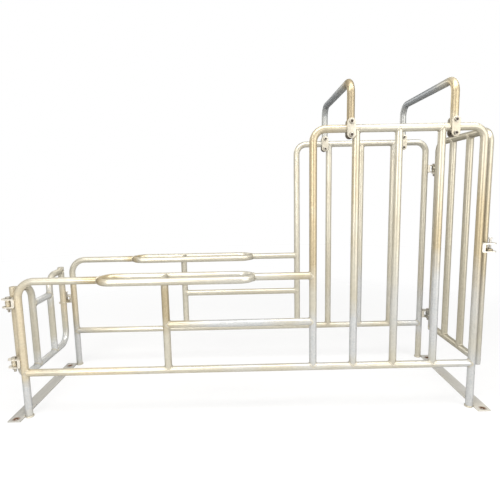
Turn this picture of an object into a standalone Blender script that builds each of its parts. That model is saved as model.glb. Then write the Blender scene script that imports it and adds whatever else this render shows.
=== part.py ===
"""Sow mating stall: two bent-tube side panels, two arches and two swinging gates.

Metres, +Z up, +X from the low rear end towards the tall head end.
The origin is the middle of the rear floor bar's underside.
"""
import math

import bmesh
import bpy
from mathutils import Vector

# Overall frame
LEG_SPACING = 2.100
PANEL_SPACING = 0.600
UPRIGHT_FROM_REAR_LEG = 0.672
POST_FROM_REAR_LEG = 1.350
LOWER_RAIL_HEIGHT = 0.219
MID_RAIL_HEIGHT = 0.439
LOW_RAIL_HEIGHT = 0.655
TOP_RAIL_HEIGHT = 1.302
HEAD_BAR_COUNT = 3

# Tube stock and bends
TUBE_DIAMETER = 0.0337
TUBE_WALL = 0.0026
OPEN_END_DEPTH = 0.040
STRUT_DIAMETER = 0.0269
LOW_BEND_RADIUS = 0.080
TALL_BEND_RADIUS = 0.055
ARCH_BEND_RADIUS = 0.060

# Rest loop let into each low rail
LOOP_FROM_REAR_LEG = 0.383
LOOP_LENGTH = 0.690
LOOP_WIDTH = 0.120

# Flat bars on the floor
FLOOR_BAR_WIDTH = 0.060
FLOOR_BAR_THICKNESS = 0.006
FLOOR_BAR_NEAR_OVERHANG = 0.050
FLOOR_BAR_FAR_OVERHANG = 0.010
FLOOR_BAR_HOLE_RADIUS = 0.007
FLOOR_BAR_HOLE_OFFSET = 0.030

# Arches and the plates that clamp them to the top rails
ARCH_ABOVE_RAIL = 0.203
ARCH_BEFORE_FIRST_BAR = 0.025
ARCH_AFTER_LAST_BAR = 0.0505
CLAMP_WIDTH = 0.037
CLAMP_THICKNESS = 0.005
CLAMP_BOLT_FROM_RAIL = 0.028
CLAMP_EDGE = 0.015
CLAMP_BOLT_RADIUS = 0.005
CLAMP_BOLT_HEAD_RADIUS = 0.0098
CLAMP_BOLT_HEAD_HEIGHT = 0.0064
CLAMP_NUT_HEIGHT = 0.008
CLAMP_BOLT_TAIL = 0.006

# Fork brackets, shared by the hinges and the latches
FORK_GAP = 0.032
FORK_PLATE = 0.005
FORK_WIDTH = 0.040
FORK_TIP = 0.027
FORK_WRAP = 0.009
REAR_PIN_FROM_LEG = 0.045
FRONT_PIN_FROM_LEG = 0.053
PIN_RADIUS = 0.006
PIN_HEAD_RADIUS = 0.011
PIN_HEAD_HEIGHT = 0.0075
PIN_NUT_HEIGHT = 0.010
PIN_TAIL = 0.012

# Lugs on the gates
LUG_THICKNESS = 0.006
LUG_STILE_RADIUS = 0.024
LUG_EYE_RADIUS = 0.013
EYE_RADIUS = 0.012
EYE_END_CLEARANCE = 0.0005
LATCH_LUG_LIFT = 0.003

# Drop pins, drawn at rest so that the gates swing freely
DROP_PIN_TIP = 0.004
DROP_PIN_DRAWN_CLEARANCE = 0.001
DROP_PIN_HEAD_RADIUS = 0.010
DROP_PIN_HEAD_HEIGHT = 0.005

# Both gates
STILE_FROM_PIN = 0.050

# Rear gate
REAR_GATE_BOTTOM = 0.170
REAR_GATE_STILE_BELOW_RAIL = 0.033
REAR_GATE_BAR_BELOW_RAIL = 0.055
REAR_GATE_BAR_FROM_STILE = 0.155
REAR_GATE_CROSSBAR_BELOW_RAIL = 0.158
REAR_GATE_CORNER_RADIUS = 0.070
REAR_LOWER_HINGE_HEIGHT = 0.271
REAR_UPPER_HINGE_BELOW_RAIL = 0.097
REAR_LATCH_HEIGHT = 0.420

# Front gate
FRONT_GATE_BOTTOM = 0.213
FRONT_GATE_STILE_END = 0.192
FRONT_GATE_BELOW_RAIL = 0.009
FRONT_GATE_BAR_COUNT = 2
FRONT_LOWER_HINGE_HEIGHT = 0.280
FRONT_UPPER_HINGE_BELOW_RAIL = 0.152
FRONT_LATCH_HEIGHT = 0.768

# Fits
SEAT_GAP = 0.0003
BOLT_CLEARANCE = 0.0006

# Facets
TUBE_BEVEL_STEPS = 3
ARC_STEP = math.radians(15)
ROUND_SIDES = 16
CUTTER_SIDES = 32

# Worked out from the sizes above
TUBE_RADIUS = TUBE_DIAMETER / 2
STRUT_RADIUS = STRUT_DIAMETER / 2
REAR_LEG_X = FLOOR_BAR_WIDTH / 2 + SEAT_GAP + TUBE_RADIUS
FRONT_LEG_X = REAR_LEG_X + LEG_SPACING
POST_X = REAR_LEG_X + POST_FROM_REAR_LEG
UPRIGHT_X = REAR_LEG_X + UPRIGHT_FROM_REAR_LEG
HEAD_BAR_SPACING = (FRONT_LEG_X - POST_X) / (HEAD_BAR_COUNT + 1)
HEAD_BAR_XS = tuple(POST_X + HEAD_BAR_SPACING * number for number in range(1, HEAD_BAR_COUNT + 1))
ARCH_XS = (HEAD_BAR_XS[0] - ARCH_BEFORE_FIRST_BAR, HEAD_BAR_XS[-1] + ARCH_AFTER_LAST_BAR)
HALF_SPACING = PANEL_SPACING / 2
ARCH_HEIGHT = TOP_RAIL_HEIGHT + ARCH_ABOVE_RAIL
REAR_GATE_STILE_TOP = LOW_RAIL_HEIGHT - REAR_GATE_STILE_BELOW_RAIL
REAR_GATE_BAR_TOP = LOW_RAIL_HEIGHT - REAR_GATE_BAR_BELOW_RAIL
REAR_GATE_CROSSBAR_HEIGHT = LOW_RAIL_HEIGHT - REAR_GATE_CROSSBAR_BELOW_RAIL
REAR_HINGE_HEIGHTS = (REAR_LOWER_HINGE_HEIGHT, LOW_RAIL_HEIGHT - REAR_UPPER_HINGE_BELOW_RAIL)
FRONT_GATE_TOP = TOP_RAIL_HEIGHT - FRONT_GATE_BELOW_RAIL
FRONT_HINGE_HEIGHTS = (FRONT_LOWER_HINGE_HEIGHT, TOP_RAIL_HEIGHT - FRONT_UPPER_HINGE_BELOW_RAIL)
HALF_FORK = FORK_GAP / 2
FORK_TOP = HALF_FORK + FORK_PLATE
GATE_SPAN = PANEL_SPACING - 2 * STILE_FROM_PIN
LATCH_LUG_TOP = -HALF_FORK + LATCH_LUG_LIFT + LUG_THICKNESS
DROP_PIN_TRAVEL = LATCH_LUG_TOP + DROP_PIN_DRAWN_CLEARANCE + FORK_TOP + DROP_PIN_TIP


def clear_scene():
    for obj in list(bpy.data.objects):
        bpy.data.objects.remove(obj)


def link(obj):
    bpy.context.scene.collection.objects.link(obj)
    return obj


def empty(name, location, turn=0.0):
    """A frame that pieces hang from; turn is about +Z, in radians."""
    obj = link(bpy.data.objects.new(name, None))
    obj.location = location
    obj.rotation_euler.z = turn
    return obj


def steel(name, colour, roughness, metallic):
    material = bpy.data.materials.new(name)
    material.use_nodes = True
    shader = material.node_tree.nodes["Principled BSDF"]
    shader.inputs["Base Color"].default_value = (*colour, 1.0)
    shader.inputs["Roughness"].default_value = roughness
    shader.inputs["Metallic"].default_value = metallic
    return material


def galvanised_tube(name):
    """Hot-dip zinc on bent tube, bright with a warm cast."""
    return steel(name + "_zinc", (0.56, 0.54, 0.49), 0.42, 0.85)


def galvanised_plate(name):
    """Hot-dip zinc on flat bar and brackets, duller than the tube."""
    return steel(name + "_zinc", (0.48, 0.46, 0.42), 0.50, 0.80)


def plated_fastener(name):
    """Zinc plating on bolts and pins, darker and smoother."""
    return steel(name + "_plating", (0.40, 0.40, 0.40), 0.35, 0.90)


def mesh_object(name, mesh, parent=None, location=(0.0, 0.0, 0.0)):
    obj = link(bpy.data.objects.new(name, mesh))
    obj.location = location
    obj.parent = parent
    return obj


def evaluated_mesh(obj):
    bpy.context.view_layer.update()
    depsgraph = bpy.context.evaluated_depsgraph_get()
    return bpy.data.meshes.new_from_object(obj.evaluated_get(depsgraph))


def finish(obj, material, smooth_angle=math.radians(35)):
    """Give a piece its material and smooth its round faces."""
    obj.data.materials.clear()
    obj.data.materials.append(material(obj.name))
    obj.data.shade_smooth()
    obj.data.set_sharp_from_angle(angle=smooth_angle)
    return obj


def combine(obj, tool, operation):
    """Cut, add or keep the tool's volume, and drop the tool."""
    modifier = obj.modifiers.new(operation.lower(), "BOOLEAN")
    modifier.operation = operation
    modifier.object = tool
    modifier.solver = "EXACT"
    mesh = evaluated_mesh(obj)
    obj.modifiers.clear()
    obj.data = mesh
    bpy.data.objects.remove(tool)
    return obj


def rounded_path(corners, radius, closed=False):
    """The centre line through the corners, each turned on an arc of the radius."""
    corners = [Vector(corner) for corner in corners]
    points = []
    for index, corner in enumerate(corners):
        if not closed and index in (0, len(corners) - 1):
            points.append(corner)
            continue
        before = (corners[index - 1] - corner).normalized()
        after = (corners[(index + 1) % len(corners)] - corner).normalized()
        half_angle = before.angle(after) / 2
        centre = corner + (before + after).normalized() * radius / math.sin(half_angle)
        reach = radius / math.tan(half_angle)
        start = (corner + before * reach - centre).normalized()
        end = (corner + after * reach - centre).normalized()
        steps = max(2, round(start.angle(end) / ARC_STEP))
        for step in range(steps + 1):
            points.append(centre + start.slerp(end, step / steps) * radius)
    kept = [points[0]]
    for point in points[1:]:
        if (point - kept[-1]).length > SEAT_GAP:
            kept.append(point)
    if closed and (kept[0] - kept[-1]).length < SEAT_GAP:
        kept.pop()
    return kept


def tube_mesh(name, points, radius, closed=False):
    """A round bar swept along the points, with flat ends."""
    curve = bpy.data.curves.new(name, "CURVE")
    curve.dimensions = "3D"
    curve.bevel_depth = radius
    curve.bevel_resolution = TUBE_BEVEL_STEPS
    curve.use_fill_caps = True
    spline = curve.splines.new("POLY")
    spline.points.add(len(points) - 1)
    for spline_point, point in zip(spline.points, points):
        spline_point.co = (*point, 1.0)
    spline.use_cyclic_u = closed
    guide = link(bpy.data.objects.new(name, curve))
    mesh = evaluated_mesh(guide)
    bpy.data.objects.remove(guide)
    shell = bmesh.new()
    shell.from_mesh(mesh)
    bmesh.ops.remove_doubles(shell, verts=shell.verts, dist=0.00001)
    bmesh.ops.recalc_face_normals(shell, faces=shell.faces)
    shell.to_mesh(mesh)
    shell.free()
    return mesh


def tube(name, corners, bend_radius=TALL_BEND_RADIUS, radius=TUBE_RADIUS, parent=None, closed=False):
    """A bent tube whose origin is its first corner."""
    origin = Vector(corners[0])
    local = [Vector(corner) - origin for corner in corners]
    mesh = tube_mesh(name, rounded_path(local, bend_radius, closed), radius, closed)
    return mesh_object(name, mesh, parent, origin)


def cylinder(name, centre, along, radius, length, parent=None, sides=CUTTER_SIDES):
    shell = bmesh.new()
    bmesh.ops.create_cone(
        shell, cap_ends=True, segments=sides, radius1=radius, radius2=radius, depth=length
    )
    mesh = bpy.data.meshes.new(name)
    shell.to_mesh(mesh)
    shell.free()
    obj = mesh_object(name, mesh, parent, centre)
    obj.rotation_mode = "QUATERNION"
    obj.rotation_quaternion = Vector(along).to_track_quat("Z", "Y")
    return obj


def cope(branch, joint, along, radius=TUBE_RADIUS):
    """Cut a tube's end to the round side of the tube it is welded to."""
    saddle = cylinder("saddle", joint, along, radius + SEAT_GAP, 4 * TUBE_RADIUS, branch.parent)
    return combine(branch, saddle, "DIFFERENCE")


def bore(obj, centre, along, radius, length):
    drill = cylinder("drill", centre, along, radius, length, obj.parent, ROUND_SIDES)
    return combine(obj, drill, "DIFFERENCE")


def prism(name, outline, height, base=0.0, parent=None, location=(0.0, 0.0, 0.0)):
    """A flat outline in X and Y, raised along +Z."""
    shell = bmesh.new()
    face = shell.faces.new([shell.verts.new((x, y, base)) for x, y in outline])
    raised = bmesh.ops.extrude_face_region(shell, geom=[face])
    lifted = [item for item in raised["geom"] if isinstance(item, bmesh.types.BMVert)]
    bmesh.ops.translate(shell, verts=lifted, vec=(0.0, 0.0, height))
    bmesh.ops.recalc_face_normals(shell, faces=shell.faces)
    mesh = bpy.data.meshes.new(name)
    shell.to_mesh(mesh)
    shell.free()
    return mesh_object(name, mesh, parent, location)


def arc(centre_x, centre_y, radius, first, last, steps):
    """Points on an arc, angles in degrees from +X."""
    points = []
    for step in range(steps + 1):
        angle = math.radians(first + (last - first) * step / steps)
        points.append((centre_x + radius * math.cos(angle), centre_y + radius * math.sin(angle)))
    return points


# Side panels


def rear_hoop(panel, side):
    """Rear leg bent over into the low rail, up to the rest loop."""
    loop_start = REAR_LEG_X + LOOP_FROM_REAR_LEG
    corners = [
        (REAR_LEG_X, 0, 0),
        (REAR_LEG_X, 0, LOW_RAIL_HEIGHT),
        (loop_start, 0, LOW_RAIL_HEIGHT),
    ]
    hoop = tube(side + "_rear_hoop", corners, LOW_BEND_RADIUS, parent=panel)
    combine(hoop, fat_rest_loop(panel), "DIFFERENCE")
    return finish(hoop, galvanised_tube)


def loop_corners():
    start = REAR_LEG_X + LOOP_FROM_REAR_LEG
    end = start + LOOP_LENGTH
    half = LOOP_WIDTH / 2
    return [
        (start, -half, LOW_RAIL_HEIGHT),
        (end, -half, LOW_RAIL_HEIGHT),
        (end, half, LOW_RAIL_HEIGHT),
        (start, half, LOW_RAIL_HEIGHT),
    ]


def rest_loop(panel, side):
    """Flat loop with round ends, let into the low rail."""
    loop = tube(side + "_rest_loop", loop_corners(), LOOP_WIDTH / 2, parent=panel, closed=True)
    return finish(loop, galvanised_tube)


def fat_rest_loop(panel):
    """The loop with its seat gap, to cut the tubes that butt on it."""
    return tube("loop_saddle", loop_corners(), LOOP_WIDTH / 2, TUBE_RADIUS + SEAT_GAP, panel, closed=True)


def rail_stub(panel, side):
    """Low rail from the rest loop to the post."""
    loop_end = REAR_LEG_X + LOOP_FROM_REAR_LEG + LOOP_LENGTH
    corners = [(loop_end, 0, LOW_RAIL_HEIGHT), (POST_X, 0, LOW_RAIL_HEIGHT)]
    stub = tube(side + "_rail_stub", corners, parent=panel)
    combine(stub, fat_rest_loop(panel), "DIFFERENCE")
    cope(stub, (POST_X, 0, LOW_RAIL_HEIGHT), (0, 0, 1))
    return finish(stub, galvanised_tube)


def mid_upright(panel, side):
    """Upright whose head strut carries both tubes of the rest loop."""
    corners = [(UPRIGHT_X, 0, LOWER_RAIL_HEIGHT), (UPRIGHT_X, 0, LOW_RAIL_HEIGHT)]
    upright = tube(side + "_mid_upright", corners, parent=panel)
    half = LOOP_WIDTH / 2
    strut_ends = [(UPRIGHT_X, -half, LOW_RAIL_HEIGHT), (UPRIGHT_X, half, LOW_RAIL_HEIGHT)]
    strut = tube("strut", strut_ends, radius=STRUT_RADIUS, parent=panel)
    combine(upright, strut, "UNION")
    combine(upright, fat_rest_loop(panel), "DIFFERENCE")
    cope(upright, (UPRIGHT_X, 0, LOWER_RAIL_HEIGHT), (1, 0, 0))
    return finish(upright, galvanised_tube)


def mid_rail(panel, side):
    """Short rail between the upright and the post."""
    corners = [(UPRIGHT_X, 0, MID_RAIL_HEIGHT), (POST_X, 0, MID_RAIL_HEIGHT)]
    rail = tube(side + "_mid_rail", corners, parent=panel)
    for corner in corners:
        cope(rail, corner, (0, 0, 1))
    return finish(rail, galvanised_tube)


def lower_rail(panel, side):
    """Rail between the two legs, under the post and the bars."""
    corners = [(REAR_LEG_X, 0, LOWER_RAIL_HEIGHT), (FRONT_LEG_X, 0, LOWER_RAIL_HEIGHT)]
    rail = tube(side + "_lower_rail", corners, parent=panel)
    for corner in corners:
        cope(rail, corner, (0, 0, 1))
    return finish(rail, galvanised_tube)


def tall_hoop(panel, side):
    """Post, top rail and front leg, bent from one tube."""
    corners = [
        (POST_X, 0, LOWER_RAIL_HEIGHT),
        (POST_X, 0, TOP_RAIL_HEIGHT),
        (FRONT_LEG_X, 0, TOP_RAIL_HEIGHT),
        (FRONT_LEG_X, 0, 0),
    ]
    hoop = tube(side + "_tall_hoop", corners, TALL_BEND_RADIUS, parent=panel)
    cope(hoop, corners[0], (1, 0, 0))
    return finish(hoop, galvanised_tube)


def head_bars(panel, side):
    """Evenly spaced upright bars between the top rail and the lower rail."""
    for number, x in enumerate(HEAD_BAR_XS, start=1):
        corners = [(x, 0, LOWER_RAIL_HEIGHT), (x, 0, TOP_RAIL_HEIGHT)]
        bar = tube(f"{side}_head_bar_{number}", corners, parent=panel)
        for corner in corners:
            cope(bar, corner, (1, 0, 0))
        finish(bar, galvanised_tube)


def side_panel(side, y):
    panel = empty(side + "_panel", (0, y, 0))
    rear_hoop(panel, side)
    rest_loop(panel, side)
    rail_stub(panel, side)
    mid_upright(panel, side)
    mid_rail(panel, side)
    lower_rail(panel, side)
    tall_hoop(panel, side)
    head_bars(panel, side)


# Floor bars


def floor_bar(name, x):
    """Flat bar along the legs' outer sides, with a bolt hole by each leg."""
    near = -HALF_SPACING - FLOOR_BAR_NEAR_OVERHANG
    far = HALF_SPACING + FLOOR_BAR_FAR_OVERHANG
    half = FLOOR_BAR_WIDTH / 2
    outline = [(-half, near), (half, near), (half, far), (-half, far)]
    bar = prism(name, outline, FLOOR_BAR_THICKNESS, location=(x, 0, 0))
    for leg_y in (-HALF_SPACING, HALF_SPACING):
        hole = (x, leg_y - FLOOR_BAR_HOLE_OFFSET, FLOOR_BAR_THICKNESS / 2)
        bore(bar, hole, (0, 0, 1), FLOOR_BAR_HOLE_RADIUS, 2 * FLOOR_BAR_THICKNESS)
    return finish(bar, galvanised_plate)


# Arches and clamps


def arch(number, x):
    """Arch whose ends stand on the top rails and are drilled for the upper bolts."""
    frame = empty(f"arch_{number}_frame", (x, 0, 0))
    corners = [
        (0, -HALF_SPACING, TOP_RAIL_HEIGHT),
        (0, -HALF_SPACING, ARCH_HEIGHT),
        (0, HALF_SPACING, ARCH_HEIGHT),
        (0, HALF_SPACING, TOP_RAIL_HEIGHT),
    ]
    hoop = tube(f"arch_{number}", corners, ARCH_BEND_RADIUS, parent=frame)
    bolt_height = TOP_RAIL_HEIGHT + CLAMP_BOLT_FROM_RAIL
    for y in (-HALF_SPACING, HALF_SPACING):
        cope(hoop, (0, y, TOP_RAIL_HEIGHT), (1, 0, 0))
        bore(hoop, (0, y, bolt_height), (0, 1, 0), CLAMP_BOLT_RADIUS + BOLT_CLEARANCE, 2 * TUBE_DIAMETER)
    return finish(hoop, galvanised_tube)


def clamp_plate(name, frame):
    """Round-ended plate, drilled above and below the rail; +Y is outwards."""
    half = CLAMP_WIDTH / 2
    straight = CLAMP_BOLT_FROM_RAIL + CLAMP_EDGE - half
    outline = arc(0, straight, half, 0, 180, 8) + arc(0, -straight, half, 180, 360, 8)
    plate = prism(name, outline, CLAMP_THICKNESS, parent=frame)
    for side in (-1, 1):
        hole = (0, side * CLAMP_BOLT_FROM_RAIL, CLAMP_THICKNESS / 2)
        bore(plate, hole, (0, 0, 1), CLAMP_BOLT_RADIUS + BOLT_CLEARANCE, 3 * CLAMP_THICKNESS)
    return finish(plate, galvanised_plate)


def hex_bolt(name, frame, radius, head_radius, head_height, grip, nut_height, tail):
    """Bolt along +Z: nut at the bottom, grip between nut and head, head on top."""
    low = -nut_height - tail
    high = grip + head_height / 2
    shank = cylinder(name, (0, 0, (low + high) / 2), (0, 0, 1), radius, high - low, frame, ROUND_SIDES)
    head_centre = (0, 0, grip + head_height / 2)
    head = cylinder("head", head_centre, (0, 0, 1), head_radius, head_height, frame, 6)
    combine(shank, head, "UNION")
    nut = cylinder("nut", (0, 0, -nut_height / 2), (0, 0, 1), head_radius, nut_height, frame, 6)
    combine(shank, nut, "UNION")
    return finish(shank, plated_fastener)


def arch_clamp(name, x, side):
    """Two plates across the top rail, with a bolt through the arch and one under the rail."""
    outwards = math.radians(90) * side
    gap = TUBE_RADIUS + SEAT_GAP
    for layer, reach in (("outer", gap), ("inner", -gap - CLAMP_THICKNESS)):
        frame = empty(f"{name}_{layer}_frame", (x, side * (HALF_SPACING + reach), TOP_RAIL_HEIGHT))
        frame.rotation_euler = (-outwards, 0, 0)
        clamp_plate(f"{name}_{layer}_plate", frame)
    grip = 2 * (gap + CLAMP_THICKNESS + SEAT_GAP)
    start = side * (HALF_SPACING - grip / 2)
    for level, offset in (("upper", CLAMP_BOLT_FROM_RAIL), ("lower", -CLAMP_BOLT_FROM_RAIL)):
        frame = empty(f"{name}_{level}_frame", (x, start, TOP_RAIL_HEIGHT + offset))
        frame.rotation_euler = (-outwards, 0, 0)
        hex_bolt(
            f"{name}_{level}_bolt",
            frame,
            CLAMP_BOLT_RADIUS,
            CLAMP_BOLT_HEAD_RADIUS,
            CLAMP_BOLT_HEAD_HEIGHT,
            grip,
            CLAMP_NUT_HEIGHT,
            CLAMP_BOLT_TAIL,
        )


# Hinge and latch hardware. In an end frame the legs are at X 0, -X is outwards,
# the hinges are at the -Y leg and the latch is at the +Y leg.


def fork_bracket(name, end, pin_from_leg, leg_y, height):
    """Channel bracket seated round the leg, with two drilled round-ended plates."""
    half = FORK_WIDTH / 2
    reach = pin_from_leg + FORK_TIP
    tip = reach - half
    outline = [(-FORK_WRAP, -half)] + arc(-tip, 0, half, 270, 90, 10) + [(-FORK_WRAP, half)]
    bracket = prism(name, outline, 2 * FORK_TOP, -FORK_TOP, end, (0, leg_y, height))
    web = TUBE_RADIUS + SEAT_GAP + FORK_PLATE
    slot_length = 2 * (reach - web)
    slot_outline = [
        (-web - slot_length, -FORK_WIDTH),
        (-web, -FORK_WIDTH),
        (-web, FORK_WIDTH),
        (-web - slot_length, FORK_WIDTH),
    ]
    slot = prism("slot", slot_outline, FORK_GAP, -HALF_FORK, end, (0, leg_y, height))
    combine(bracket, slot, "DIFFERENCE")
    seat = cylinder("seat", (0, leg_y, height), (0, 0, 1), TUBE_RADIUS + SEAT_GAP, 3 * FORK_TOP, end)
    combine(bracket, seat, "DIFFERENCE")
    hole = (-pin_from_leg, leg_y, height)
    bore(bracket, hole, (0, 0, 1), PIN_RADIUS + BOLT_CLEARANCE, 3 * FORK_TOP)
    return finish(bracket, galvanised_plate)


def hinge_pin(name, end, pin_from_leg, height):
    """Bolt through the fork: head on the top plate, nut under the lower plate."""
    grip = 2 * (FORK_TOP + SEAT_GAP)
    frame = empty(name + "_frame", (-pin_from_leg, -HALF_SPACING, height - grip / 2))
    frame.parent = end
    hex_bolt(name, frame, PIN_RADIUS, PIN_HEAD_RADIUS, PIN_HEAD_HEIGHT, grip, PIN_NUT_HEIGHT, PIN_TAIL)


def drop_pin(name, end, pin_from_leg, height):
    """Round-headed pin drawn clear of the latch lug; its head is DROP_PIN_TRAVEL above the fork."""
    slide = empty(name + "_slide", (-pin_from_leg, HALF_SPACING, height))
    slide.parent = end
    tip = LATCH_LUG_TOP + DROP_PIN_DRAWN_CLEARANCE
    seat = FORK_TOP + SEAT_GAP + DROP_PIN_TRAVEL
    top = seat + DROP_PIN_HEAD_HEIGHT
    middle = seat + DROP_PIN_HEAD_HEIGHT / 2
    pin = cylinder(name, (0, 0, (tip + middle) / 2), (0, 0, 1), PIN_RADIUS, middle - tip, slide, ROUND_SIDES)
    head = cylinder("head", (0, 0, middle), (0, 0, 1), DROP_PIN_HEAD_RADIUS, top - seat, slide, ROUND_SIDES)
    combine(pin, head, "UNION")
    return finish(pin, plated_fastener)


def lug_plate(name, gate, stile_y, pin_y, height):
    """Drop-shaped plate round the stile, narrowing to its eye at the pin."""
    shell = bmesh.new()
    for y, radius in ((stile_y, LUG_STILE_RADIUS), (pin_y, LUG_EYE_RADIUS)):
        for z in (height, height + LUG_THICKNESS):
            ring = bmesh.ops.create_circle(shell, segments=ROUND_SIDES, radius=radius)
            bmesh.ops.translate(shell, verts=ring["verts"], vec=(0, y, z))
    hull = bmesh.ops.convex_hull(shell, input=shell.verts)
    inner = [item for item in hull["geom_interior"] if isinstance(item, bmesh.types.BMVert)]
    bmesh.ops.delete(shell, geom=inner, context="VERTS")
    bmesh.ops.dissolve_limit(shell, angle_limit=math.radians(1), verts=shell.verts, edges=shell.edges)
    mesh = bpy.data.meshes.new(name)
    shell.to_mesh(mesh)
    shell.free()
    return mesh_object(name, mesh, gate)


def add_hinge_lug(stile, gate, height):
    """Weld a lug and its eye barrel on the hinge stile, and bore it for the pin."""
    plate = lug_plate("lug", gate, STILE_FROM_PIN, 0.0, height - LUG_THICKNESS / 2)
    combine(stile, plate, "UNION")
    barrel_length = FORK_GAP - 2 * EYE_END_CLEARANCE
    barrel = cylinder("barrel", (0, 0, height), (0, 0, 1), EYE_RADIUS, barrel_length, gate, ROUND_SIDES)
    combine(stile, barrel, "UNION")
    bore(stile, (0, 0, height), (0, 0, 1), PIN_RADIUS + BOLT_CLEARANCE, 2 * FORK_GAP)


def add_latch_lug(stile, gate, height):
    """Weld the latch lug on the latch stile, low in the fork, and bore it for the pin."""
    base = height - HALF_FORK + LATCH_LUG_LIFT
    latch_y = 2 * STILE_FROM_PIN + GATE_SPAN
    plate = lug_plate("lug", gate, STILE_FROM_PIN + GATE_SPAN, latch_y, base)
    combine(stile, plate, "UNION")
    bore(stile, (0, latch_y, base), (0, 0, 1), PIN_RADIUS + BOLT_CLEARANCE, 4 * LUG_THICKNESS)


def end_hardware(name, end, pin_from_leg, hinge_heights, latch_height):
    """Two hinges on one leg and a latch on the other."""
    for level, height in zip(("lower", "upper"), hinge_heights):
        fork_bracket(f"{name}_{level}_hinge_fork", end, pin_from_leg, -HALF_SPACING, height)
        hinge_pin(f"{name}_{level}_hinge_pin", end, pin_from_leg, height)
    fork_bracket(f"{name}_latch_fork", end, pin_from_leg, HALF_SPACING, latch_height)
    drop_pin(f"{name}_drop_pin", end, pin_from_leg, latch_height)


# Gates. In a gate frame the hinge axis is the Z axis and the gate runs along +Y.


def rear_gate(gate):
    """Bent frame with square-topped stiles, two bent inner bars and a short crossbar."""
    hinge_y = STILE_FROM_PIN
    latch_y = STILE_FROM_PIN + GATE_SPAN
    corners = [
        (0, hinge_y, REAR_GATE_STILE_TOP),
        (0, hinge_y, REAR_GATE_BOTTOM),
        (0, latch_y, REAR_GATE_BOTTOM),
        (0, latch_y, REAR_GATE_STILE_TOP),
    ]
    frame = tube("rear_gate_frame", corners, REAR_GATE_CORNER_RADIUS, parent=gate)
    for height in REAR_HINGE_HEIGHTS:
        add_hinge_lug(frame, gate, height)
    add_latch_lug(frame, gate, REAR_LATCH_HEIGHT)
    finish(frame, galvanised_tube)

    bar_places = []
    for name, stile_y, inwards in (("hinge", hinge_y, 1), ("latch", latch_y, -1)):
        bar_y = stile_y + inwards * REAR_GATE_BAR_FROM_STILE
        bar_places.append(bar_y)
        bar_corners = [
            (0, bar_y, REAR_GATE_BOTTOM),
            (0, bar_y, REAR_GATE_BAR_TOP),
            (0, stile_y, REAR_GATE_BAR_TOP),
        ]
        bar = tube(f"rear_gate_{name}_bar", bar_corners, REAR_GATE_CORNER_RADIUS, parent=gate)
        cope(bar, bar_corners[0], (0, 1, 0))
        cope(bar, bar_corners[2], (0, 0, 1))
        finish(bar, galvanised_tube)

    cross_ends = [(0, y, REAR_GATE_CROSSBAR_HEIGHT) for y in bar_places]
    crossbar = tube("rear_gate_crossbar", cross_ends, parent=gate)
    for cross_end in cross_ends:
        cope(crossbar, cross_end, (0, 0, 1))
    finish(crossbar, galvanised_tube)


def front_gate(gate):
    """Tall hoop with open lower ends, a bottom bar and evenly spaced upright bars."""
    hinge_y = STILE_FROM_PIN
    latch_y = STILE_FROM_PIN + GATE_SPAN
    corners = [
        (0, hinge_y, FRONT_GATE_STILE_END),
        (0, hinge_y, FRONT_GATE_TOP),
        (0, latch_y, FRONT_GATE_TOP),
        (0, latch_y, FRONT_GATE_STILE_END),
    ]
    hoop = tube("front_gate_hoop", corners, TALL_BEND_RADIUS, parent=gate)
    for y in (hinge_y, latch_y):
        bore(hoop, (0, y, FRONT_GATE_STILE_END), (0, 0, 1), TUBE_RADIUS - TUBE_WALL, 2 * OPEN_END_DEPTH)
    for height in FRONT_HINGE_HEIGHTS:
        add_hinge_lug(hoop, gate, height)
    add_latch_lug(hoop, gate, FRONT_LATCH_HEIGHT)
    finish(hoop, galvanised_tube)

    bottom_ends = [(0, hinge_y, FRONT_GATE_BOTTOM), (0, latch_y, FRONT_GATE_BOTTOM)]
    bottom = tube("front_gate_bottom_bar", bottom_ends, parent=gate)
    for bottom_end in bottom_ends:
        cope(bottom, bottom_end, (0, 0, 1))
    finish(bottom, galvanised_tube)

    for number in range(1, FRONT_GATE_BAR_COUNT + 1):
        y = hinge_y + GATE_SPAN * number / (FRONT_GATE_BAR_COUNT + 1)
        bar_ends = [(0, y, FRONT_GATE_BOTTOM), (0, y, FRONT_GATE_TOP)]
        bar = tube(f"front_gate_bar_{number}", bar_ends, parent=gate)
        for bar_end in bar_ends:
            cope(bar, bar_end, (0, 1, 0))
        finish(bar, galvanised_tube)


def build():
    clear_scene()
    side_panel("near", -HALF_SPACING)
    side_panel("far", HALF_SPACING)
    floor_bar("rear_floor_bar", 0.0)
    floor_bar("front_floor_bar", FRONT_LEG_X + TUBE_RADIUS + SEAT_GAP + FLOOR_BAR_WIDTH / 2)

    for number, x in enumerate(ARCH_XS, start=1):
        arch(number, x)
        arch_clamp(f"near_clamp_{number}", x, -1)
        arch_clamp(f"far_clamp_{number}", x, 1)

    rear_end = empty("rear_end", (REAR_LEG_X, 0, 0))
    end_hardware("rear", rear_end, REAR_PIN_FROM_LEG, REAR_HINGE_HEIGHTS, REAR_LATCH_HEIGHT)
    front_end = empty("front_end", (FRONT_LEG_X, 0, 0), math.pi)
    end_hardware("front", front_end, FRONT_PIN_FROM_LEG, FRONT_HINGE_HEIGHTS, FRONT_LATCH_HEIGHT)

    rear_axis = empty("rear_gate_axis", (REAR_LEG_X - REAR_PIN_FROM_LEG, -HALF_SPACING, 0))
    rear_gate(rear_axis)
    front_axis = empty("front_gate_axis", (FRONT_LEG_X + FRONT_PIN_FROM_LEG, HALF_SPACING, 0), math.pi)
    front_gate(front_axis)


build()
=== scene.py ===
import math

import bmesh
import bpy
from mathutils import Matrix, Vector, noise


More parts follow.
